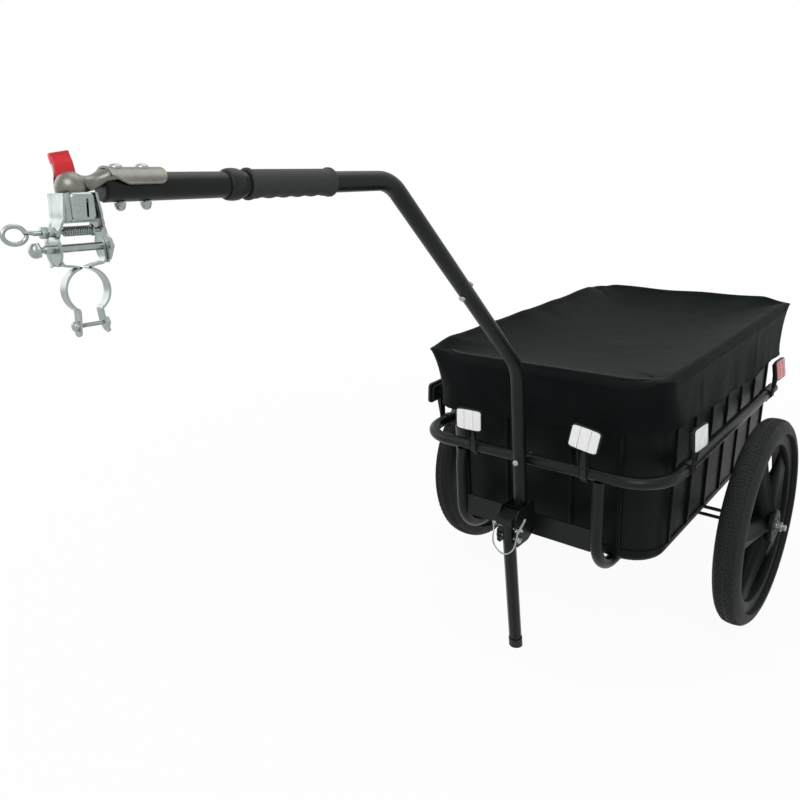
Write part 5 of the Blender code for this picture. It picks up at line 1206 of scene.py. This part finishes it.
# Stand
PIVOT = (-0.3980, 0.2517)
LEG_LEAN = math.radians(5.0)
LOCK_ABOVE = 0.0204
HOOD_HALF = 0.0160
HOOD_T = 0.0015
BAIL_R = 0.0013
TWIST_R = 0.0011
# The bail's wire in front of the leg: across, forward of the pin, and above it
BAIL = (
    (-0.0282, -0.0030, 0.0000),
    (-0.0274, 0.0040, -0.0010),
    (-0.0238, 0.0110, -0.0090),
    (-0.0222, 0.0165, -0.0200),
    (-0.0190, 0.0175, -0.0330),
    (-0.0060, 0.0180, -0.0440),
    (0.0080, 0.0180, -0.0425),
    (0.0200, 0.0175, -0.0300),
    (0.0255, 0.0168, -0.0120),
    (0.0280, 0.0165, 0.0020),
    (0.0287, 0.0165, 0.0080),
)
BAIL_TIP = (0.0430, 0.0165, 0.0335)
TWISTS = 3.2
STRAND_R = 0.00105
# The hood's sheet from its front foot over the top, and its sides, as back of and above the stand's pivot
HOOD_SHEET = (
    (-0.0142, 0.0300),
    (-0.0142, 0.0340),
    (-0.0142, 0.0380),
    (-0.0140, 0.0416),
    (-0.0128, 0.0434),
    (-0.0090, 0.0442),
    (0.0040, 0.0455),
    (0.0165, 0.0468),
)
HOOD_SIDE = (
    (-0.0142, 0.0300),
    (-0.0142, 0.0418),
    (-0.0128, 0.0436),
    (0.0170, 0.0470),
    (0.0170, 0.0420),
    (0.0128, 0.0300),
)
RIVET = (0.0115, -0.0142, 0.0390)


def make_stand_parts():
    """A bent hood that closes the top of the leg, and the locking pin's wire bail with its twisted end."""
    up = moved(0.0, *PIVOT) @ Matrix.Rotation(LEG_LEAN, 4, "X")
    bm = bmesh.new()
    bent_sheet(bm, [row_across(HOOD_HALF, y, z) for y, z in HOOD_SHEET], HOOD_T)
    for sign in (-1, 1):
        at = sign * (HOOD_HALF - HOOD_T / 2)
        prism(bm, HOOD_SIDE, at - HOOD_T / 2, at + HOOD_T / 2, SIDEWAYS, 0.0003, 1)
        dome_head(bm, 0.0018, 0.0009, moved(sign * RIVET[0], *RIVET[1:]) @ turned(90.0, "X"))
    finish_piece(bm, "leg_hood", TRAILER @ up, "frame_paint", "stand", sharp=35.0)
    pin = TRAILER @ Matrix.Translation(up @ Vector((0.0, 0.0, LOCK_ABOVE)))
    bm = bmesh.new()
    points = [Vector((x, -ahead, z)) for x, ahead, z in (*BAIL, BAIL_TIP)]
    start, tip = points[-3], points.pop()
    sweep(bm, smooth_path(points, 8), BAIL_R, 12)
    along = (tip - start).normalized()
    first = along.orthogonal().normalized()
    second = along.cross(first)
    for phase in (0.0, math.pi):
        strand = []
        for i in range(61):
            angle = phase + math.tau * TWISTS * i / 60
            spread = TWIST_R * min((60 - i) / 4 + 0.15, 1.0)
            aside = first * math.cos(angle) + second * math.sin(angle)
            strand.append(start + (tip - start) * i / 60 + aside * spread)
        sweep(bm, strand, STRAND_R, 10)
    finish_piece(bm, "bail_wire", pin, "zinc_steel", "pin_ring", ["pin_bail"], 60.0)


# Coupling: the drawbar's cup, in the drawbar's own frame, and the hitch, measured from the ball's centre
CUP_OUT_R = 0.0127
CUP_IN_R = 0.0094
CUP_LIP = -0.0038
SADDLE_T = 0.0020
SADDLE_FRONT, SADDLE_BACK = 0.0026, 0.0570
SADDLE_WRAP = math.radians(83.0)
FRONT_WRAP = math.radians(60.0)
SADDLE_BOLTS = (0.0144, 0.0397)
SADDLE_CORNER = 0.0085
SADDLE_OPENING = 0.0165
BOLT_R = 0.0025
# The neck from the tube to the cup: behind the ball, above it, half width and half height
NECK = (
    (0.0400, 0.0075, 0.0125, 0.0050),
    (0.0340, 0.0073, 0.0132, 0.0060),
    (0.0290, 0.0068, 0.0126, 0.0062),
    (0.0230, 0.0042, 0.0098, 0.0062),
    (0.0170, 0.0023, 0.0080, 0.0064),
    (0.0110, 0.0022, 0.0086, 0.0066),
    (0.0062, 0.0028, 0.0100, 0.0072),
    (0.0020, 0.0030, 0.0095, 0.0060),
)
BALL_HOME = Vector((0.0, -1.0676, 0.8833))
EYE_Z = -0.0353
SPRING_SEAT = -0.0124
LONG_Z = -0.0490
CLAMP_Z = -0.1150
RING_Z = -0.0852
RING_R = 0.0193
STRAP_T = 0.0019
STRAP_HALF = 0.0050
# A saddle bolt's acorn nut: its corners' radius, its height, the dome's radius and top
ACORN = (0.0054, 0.0030, 0.0046, 0.0074)
THREAD_DEPTH = 0.00022


def cross_axis(height, back=0.0):
    """A place in the hitch's middle plane, below the ball, whose Z runs back."""
    return moved(0.0, 0.0, height) @ ALONG_U @ moved(0.0, 0.0, back)


def dome(radius, low, high, steps):
    """A dome's profile from its top down to its edge."""
    angles = [math.pi / 2 * i / steps for i in range(1, steps + 1)]
    return [(0.0, high)] + [(radius * math.sin(a), low + (high - low) * math.cos(a)) for a in angles]


def dome_head(bm, radius, height, matrix):
    foot = [(radius, height * 0.12), (radius * 0.96, 0.0), (0.0, 0.0)]
    lathe(bm, dome(radius, 0.30 * height, height, 9) + foot, matrix, 36)


def nut(bm, radius, height, matrix, bore=0.0):
    """A hexagon nut, chamfered, with the bolt's end standing in it."""
    prism(bm, circle(6, radius), 0.0, height, matrix, height * 0.10, 2)
    if bore:
        top, low = height + 0.0016, height * 0.4
        end = [(0.0, top), (bore * 0.8, top), (bore, height + 0.0010), (bore, low), (0.0, low)]
        lathe(bm, end, matrix, 24)


def bolt_head(bm, matrix, radius, height, bevel, turn, cap_radius, cap_height):
    """A hexagon head with a low dome on it, facing forward."""
    back = matrix @ turned(180.0, "X")
    prism(bm, circle(6, radius, turn), 0.0, height, back, bevel, 2)
    dome_head(bm, cap_radius, cap_height, back @ moved(0.0, 0.0, height - 0.0006))


def threaded(bm, radius, start, end, matrix, pitch=0.0009):
    """A rod with rolled thread grooves round it."""
    count = max(int((end - start) / pitch), 1)
    step = (end - start) / count
    profile = [(0.0, start)]
    for low in [start + step * i for i in range(count)]:
        profile.append((radius - THREAD_DEPTH, low + step * 0.05))
        profile += [(radius, low + step * 0.35), (radius, low + step * 0.65)]
    profile += [(radius - 0.0003, end), (0.0, end)]
    lathe(bm, profile, matrix, 24)


def make_saddle():
    """One pressing: the saddle over the tube, its waisted neck, and the cup over the ball."""
    outer = TOW_R + GAP + SADDLE_T
    rows = []
    steps, columns = 44, 48
    for i in range(steps + 1):
        back = SADDLE_FRONT + (SADDLE_BACK - SADDLE_FRONT) * i / steps
        wrap = FRONT_WRAP + (SADDLE_WRAP - FRONT_WRAP) * ease((back - SADDLE_FRONT) / SADDLE_OPENING)
        late = back - (SADDLE_BACK - SADDLE_CORNER)
        if late > 0:
            wrap -= (SADDLE_CORNER - math.sqrt(max(SADDLE_CORNER**2 - late**2, 0.0))) / outer
        reach = outer + 0.0011 * math.exp(-((back - SADDLE_FRONT) / 0.006) ** 2)
        row = []
        for share in [2 * k / columns - 1 for k in range(columns + 1)]:
            angle = math.pi / 2 + wrap * share
            radius = reach + 0.0006 * (max(abs(share) - 0.9, 0.0) / 0.1) ** 2
            row.append((radius * math.cos(angle), radius * math.sin(angle), back))
        rows.append(row)
    bm = bmesh.new()
    bent_sheet(bm, rows, SADDLE_T, bar_matrix(0.0))
    rings = []
    shape = [(BALL_HOME.y + back, BALL_HOME.z + rise, half, tall) for back, rise, half, tall in NECK]
    for y, z, half, tall in smooth_path(shape, 6):
        ring = [Vector((half * bulge(a, 0.82), y, z + tall * bulge(b, 0.82))) for a, b in circle(36)]
        rings.append([TRAILER @ point for point in ring])
    skin(bm, rings, True, True)
    lip, low = math.asin(-CUP_LIP / CUP_OUT_R), math.asin(-CUP_LIP / CUP_IN_R)
    roll = (CUP_OUT_R - CUP_IN_R) / 2
    middle = CUP_OUT_R * math.cos(lip) - roll
    cup = [(0.0, CUP_OUT_R)] + arc((0.0, 0.0), CUP_OUT_R, math.pi / 2, -lip, 26)[1:]
    for angle in [math.pi * i / 8 for i in range(1, 8)]:
        cup.append((middle + roll * 1.12 * math.cos(angle), CUP_LIP - roll * 0.6 * math.sin(angle)))
    cup += arc((0.0, 0.0), CUP_IN_R, -low, math.pi / 2, 14)[:-1] + [(0.0, CUP_IN_R)]
    lathe(bm, cup, TRAILER @ Matrix.Translation(BALL_HOME), 72)
    finish_piece(bm, "saddle_pressing", HERE, "dull_zinc", "frame", ["coupling_saddle"], 50.0)
    corner, height, radius, top = ACORN
    for word, back in zip(("front", "rear"), SADDLE_BOLTS):
        bm = bmesh.new()
        up = bar_matrix(back) @ ALONG_U
        dome_head(bm, 0.0062, 0.0046, up @ moved(0.0, 0.0, outer + GAP))
        ends = (outer + 0.001, -TOW_R - 0.001)
        lathe(bm, [(0.0, ends[0]), (BOLT_R, ends[0]), (BOLT_R, ends[1]), (0.0, ends[1])], up, 20)
        down = up @ moved(0.0, 0.0, -TOW_R - GAP) @ turned(180.0, "X")
        prism(bm, circle(6, corner, 0.3), 0.0, height, down, 0.0004, 2)
        lathe(bm, dome(radius, height, top, 8) + [(radius, 0.0022), (0.0, 0.0022)], down, 28)
        finish_piece(bm, f"saddle_{word}_fastener", HERE, "zinc_steel", "frame", [f"saddle_bolt_{word}"])


# How far the bracket's sides stand from its middle, by height from the ball
FLANKS = (
    (-0.004, 0.0128),
    (-0.024, 0.0150),
    (-0.031, 0.0172),
    (-0.038, 0.0200),
    (-0.043, 0.0208),
    (-0.070, 0.0208),
)


def flank_spread(height):
    for (high, first), (low, second) in zip(FLANKS, FLANKS[1:]):
        if height >= low:
            return first + (second - first) * ease((high - height) / (high - low))
    return FLANKS[-1][1]


# A side's lobe, as back of the ball, height and radius; then the heights that a side spans
LOBE = (-0.0010, -0.0495, 0.0138)
FLANK_TOP, FLANK_TALL = -0.0045, 0.0588
FLANK_T = 0.0021
YOKE_SHARP = 42.0
# A collar round the long bolt, as a half section
COLLAR = ((0.0042, 0.0019), (0.0068, 0.0019), (0.0072, 0.0012), (0.0072, -0.0010), (0.0042, -0.0010))
WEB = ((-0.0150, -0.0268), (-0.0128, -0.0050), (-0.0095, -0.0040), (-0.0095, -0.0268))
SHELF = ((-0.0100, -0.0272), (0.0116, -0.0272), (0.0116, -0.0256), (-0.0100, -0.0256))
# The housing's pillow and its slot: width, height and corner, then the middle's place
PILLOW, PILLOW_AT = (0.0212, 0.0232, 0.0040), (0.0008, -0.0156)
SLOT, SLOT_AT = (0.0019, 0.0150, 0.00090), (0.0036, -0.0166)
SLOT_LEAN = -5.0


def flank_ends(height):
    """The front and the rear edge of a side at this height."""
    down = clamp((-0.024 - height) / 0.022)
    front = 0.0146 - 0.0105 * down
    rear = -0.0128 + 0.0022 * clamp((-0.006 - height) / 0.012) - 0.0020 * down
    middle, level, radius = LOBE
    low = height - level
    if abs(low) >= radius:
        return front, rear
    half = math.sqrt(radius**2 - low**2)
    if low < 0:
        return middle + half, middle - half
    return max(front, middle + half), min(rear, middle - half)


def make_hitch_bracket():
    """A pressed yoke: a pillow-shaped housing with a slot, and two sides that spread to round lobes."""
    bm = bmesh.new()
    for sign in (-1, 1):
        rows = []
        for height in [FLANK_TOP - FLANK_TALL * i / 46 for i in range(47)]:
            front, rear = flank_ends(height)
            bead = 0.0007 * (1 if height < -0.028 else 0.3)
            row = []
            for share in [k / 16 for k in range(17)]:
                u = flank_spread(height) + bead * math.exp(-(((share - 0.16) / 0.07) ** 2))
                row.append((rear + (front - rear) * share, sign * u, height))
            rows.append(row)
        bent_sheet(bm, rows, FLANK_T)
        collar = [(radius, sign * along) for radius, along in COLLAR]
        lathe(bm, collar, moved(0.0, sign * FLANKS[-1][1], LONG_Z) @ ALONG_U, 36, closed=True)
    pillow = bmesh.new()
    outline = [(u + PILLOW_AT[0], w + PILLOW_AT[1]) for u, w in rounded_box(*PILLOW, 8)]
    prism(pillow, outline, 0.0040, 0.0163, HERE, 0.0030, 7)
    behind = [face for face in pillow.faces if face.normal.z < -0.7]
    bmesh.ops.delete(pillow, geom=behind, context="FACES")
    bmesh.ops.solidify(pillow, geom=pillow.faces[:], thickness=0.0013)
    join(bm, pillow, SIDEWAYS)
    for sign in (-1, 1):
        ear = [(sign * u, w) for u, w in WEB]
        prism(bm, ear[::sign], 0.0122, 0.0144, SIDEWAYS, 0.0006, 2)
    prism(bm, SHELF, -0.002, 0.0146, SIDEWAYS, 0.0006, 2)
    bracket = finish_piece(bm, "yoke_pressing", HITCH, "zinc_steel", "hitch", ["hitch_bracket"], YOKE_SHARP)
    cut_slot(bracket)


def cut_slot(bracket):
    u, w = SLOT_AT
    slot = bmesh.new()
    prism(slot, [(x + u, y + w) for x, y in rounded_box(*SLOT, 5)], 0.0100, 0.0300, SIDEWAYS)
    mesh = bpy.data.meshes.new("slot_cutter")
    slot.to_mesh(mesh)
    slot.free()
    mesh.transform(HITCH @ moved(0.0, u, w) @ turned(SLOT_LEAN, "X") @ moved(0.0, -u, -w))
    cutter = bpy.data.objects.new("slot_cutter", mesh)
    SCENE.collection.objects.link(cutter)
    knife = bracket.modifiers.new("slot", "BOOLEAN")
    knife.operation = "DIFFERENCE"
    knife.solver = "EXACT"
    knife.object = cutter
    apply_modifiers(bracket)
    bpy.data.objects.remove(cutter)
    bpy.data.meshes.remove(mesh)
    bracket.data.set_sharp_from_angle(angle=math.radians(YOKE_SHARP))


# The lever's strip and cap from below up, as along the bracket's side and height from the ball
STRIP = (
    (-0.0140, -0.0175),
    (-0.0146, -0.0100),
    (-0.0160, -0.0010),
    (-0.0158, 0.0060),
    (-0.0139, 0.0105),
    (-0.0139, 0.0150),
    (-0.0146, 0.0186),
)
CAP = (
    (-0.0135, 0.0088),
    (-0.0139, 0.0140),
    (-0.0146, 0.0186),
    (-0.0160, 0.0222),
    (-0.0172, 0.0256),
    (-0.0176, 0.0290),
)
CAP_CORNER_R = 0.0014
CAP_SLOPE = math.tan(math.radians(9.0))
LEVER_PIN = [(0.0, 0.0124), (0.0026, 0.0124), (0.0030, 0.0118)]


def make_lever():
    """The latch: a cranked strip on its barrel, and a moulded cap pushed over its top."""
    bm = bmesh.new()
    rows = [row_across(0.0085, a, w, 0.0015, 6) for a, w in smooth_path(STRIP)]
    bent_sheet(bm, rows, 0.0016, axes(BACK, RIGHT, UP))
    lathe(bm, mirrored(LEVER_PIN), moved(-0.0140, 0.0, -0.0200) @ ALONG_U, 28)
    finish_piece(bm, "lever_strip", HITCH, "zinc_steel", "latch", ["latch_lever"])
    rings = []
    path = smooth_path(CAP, 5)
    last = len(path) - 1
    for i, (a, w) in enumerate(path):
        share = i / last
        end = min(share, 1 - share) / 0.06
        shrink = 1.0 if end >= 1 else math.sqrt(max(1 - (1 - end) ** 2, 0.05))
        wide = 0.0090 - 0.0006 * share
        thick = (0.0026 + 0.0004 * share) * shrink
        middle = 0.0030 - 0.0012 * share
        run = (path[min(i + 1, last)] - path[max(i - 1, 0)]).normalized()
        section = rounded_box(2 * wide * (0.90 + 0.10 * shrink), 2 * thick, min(CAP_CORNER_R, thick * 0.9), 5)
        ring = []
        for across, off in section:
            ring.append((a - run.y * off, middle + across, w + run.x * off + CAP_SLOPE * across))
        rings.append(ring)
    bm = bmesh.new()
    skin(bm, rings, True, True)
    finish_piece(bm, "lever_cap", HITCH, "red_plastic", "latch", ["lever_grip"], 55.0)


# The eye bolt: the eye's middle, half length, half height and wire; the sleeve and collar; the spring
EYE_MIDDLE, EYE_HALF, EYE_RISE, EYE_WIRE = -0.0518, 0.0090, 0.0070, 0.0019
EYE_SLEEVE = (
    (0.0, -0.0255),
    (0.0036, -0.0255),
    (0.0039, -0.0250),
    (0.0039, -0.0185),
    (0.0052, -0.0180),
    (0.0052, -0.0168),
    (0.0, -0.0168),
)
EYE_COLLAR = ((0.0, 0.0115), (0.0046, 0.0115), (0.0050, 0.0119), (0.0050, 0.0130), (0.0, 0.0130))
SPRING_TURNS, SPRING_STEPS = 15, 20
SPRING_R, SPRING_WIRE, SPRING_LONG = 0.0037, 0.00056, 0.0233


def make_eye_bolt():
    """A rod bent round to an oval eye, with a locking nut and a stepped sleeve, and its return spring."""
    bm = bmesh.new()
    axis = cross_axis(EYE_Z)
    path = []
    for share in [i / 52 for i in range(53)]:
        angle = math.radians(12.0) + (math.tau - math.radians(14.0)) * share
        y = EYE_MIDDLE + EYE_HALF * math.cos(angle)
        path.append((0.0016 * (share - 0.5), y, EYE_Z - 0.0004 + EYE_RISE * math.sin(angle)))
    shank = [(0.0, -0.0300, EYE_Z), (0.0, -0.0355, EYE_Z), (-0.0002, -0.0392, EYE_Z + 0.0008), path[0]]
    sweep(bm, smooth_path(shank, 5)[:-1] + path, EYE_WIRE, 18)
    threaded(bm, 0.0021, -0.0365, 0.0210, axis)
    nut(bm, 0.0054, 0.0052, cross_axis(EYE_Z, -0.0312))
    lathe(bm, EYE_SLEEVE, axis, 32)
    lathe(bm, EYE_COLLAR, axis, 32)
    finish_piece(bm, "eye_rod", HITCH, "zinc_steel", "spring_bolt", ["eye_bolt"])
    bm = bmesh.new()
    path = []
    count = SPRING_TURNS * SPRING_STEPS
    for i in range(count + 1):
        angle = math.tau * i / SPRING_STEPS
        along = SPRING_SEAT + SPRING_LONG * i / count
        path.append((SPRING_R * math.cos(angle), along, EYE_Z + SPRING_R * math.sin(angle)))
    sweep(bm, path, SPRING_WIRE, 8)
    spring = finish_piece(bm, "return_spring", HITCH, "zinc_steel", "hitch", ["eye_spring"], 60.0)
    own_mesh(spring)


def make_long_bolt():
    """The bolt through the bracket's lobes and the straps, with its sleeve, collar and nut."""
    bm = bmesh.new()
    axis = cross_axis(LONG_Z)
    bolt_head(bm, cross_axis(LONG_Z, -0.0345), 0.0068, 0.0034, 0.0005, 0.2, 0.0060, 0.0052)
    threaded(bm, 0.0025, -0.0350, -0.0228, axis)
    collar = [(0.0, -0.0300), (0.0033, -0.0300), (0.0036, -0.0296), (0.0036, -0.0230), (0.0, -0.0230)]
    lathe(bm, collar, axis, 32)
    lathe(bm, mirrored([(0.0, 0.0190), (0.0034, 0.0190)]), axis, 32)
    nut(bm, 0.0072, 0.0050, cross_axis(LONG_Z, 0.0229), 0.0024)
    finish_piece(bm, "cross_bolt", HITCH, "zinc_steel", "hitch", ["long_bolt"])


# A strap's shoulder from the long bolt down to the neck, as back of the ball and height
SHOULDER_LINE = (
    (0.0186, -0.0400),
    (0.0186, -0.0560),
    (0.0180, -0.0600),
    (0.0160, -0.0622),
    (0.0100, -0.0630),
    (0.0045, -0.0645),
    (0.0024, -0.0658),
)
NECK_HALF, EAR_HALF = 0.0050, 0.0098
EAR_SPLAY = {"front": 0.0010, "rear": 0.0035}


def strap_half(height):
    """A strap's half width, which rounds off past its upper and its lower bolt."""
    half = STRAP_HALF
    for beyond in (height - LONG_Z, CLAMP_Z - 0.0030 - height):
        if beyond > 0:
            half = min(half, math.sqrt(max((STRAP_HALF + 0.0014) ** 2 - beyond**2, 0.0009**2)))
    return half


def make_clamp():
    """Two bent straps that meet at the neck, ring the post and end in ears, and the bolt through the ears."""
    radius = RING_R - STRAP_T / 2
    neck, foot = math.acos(NECK_HALF / radius), math.acos(EAR_HALF / radius)
    lowest = RING_Z - radius * math.sin(foot)
    for word, side in (("front", -1), ("rear", 1)):
        splay = EAR_SPLAY[word]
        path = [*SHOULDER_LINE, *arc((0.0, RING_Z), radius, neck, -foot, 16)]
        path += [(0.0093, lowest - 0.0035), (0.0100, CLAMP_Z + 0.004), (0.0104, CLAMP_Z)]
        path += [(0.0106 + splay * 0.4, CLAMP_Z - 0.004), (0.0106 + splay, CLAMP_Z - 0.0095)]
        path = smooth_path([(side * u, w) for u, w in path], 4)
        bm = bmesh.new()
        bent_sheet(bm, [row_across(strap_half(w), u, w) for u, w in path], STRAP_T)
        finish_piece(bm, f"strap_{word}_bent", HITCH, "zinc_steel", "clamp", [f"clamp_strap_{word}"], 50.0)
    bm = bmesh.new()
    bolt_head(bm, cross_axis(CLAMP_Z, -0.0118), 0.0050, 0.0030, 0.0004, 0.1, 0.0044, 0.0030)
    threaded(bm, 0.0020, -0.0122, 0.0150, cross_axis(CLAMP_Z), 0.0008)
    nut(bm, 0.0052, 0.0040, cross_axis(CLAMP_Z, 0.0118), 0.0019)
    finish_piece(bm, "clamp_fastener", HITCH, "zinc_steel", "clamp", ["clamp_bolt"])


make_camera()
dress_cad_nodes()
make_tubes()
make_wheels()
make_crate()
make_cover()
make_reflectors()
make_stand_parts()
make_saddle()
make_hitch_bracket()
make_lever()
make_eye_bolt()
make_long_bolt()
make_clamp()
make_studio()
SCENE.view_settings.view_transform = "Standard"
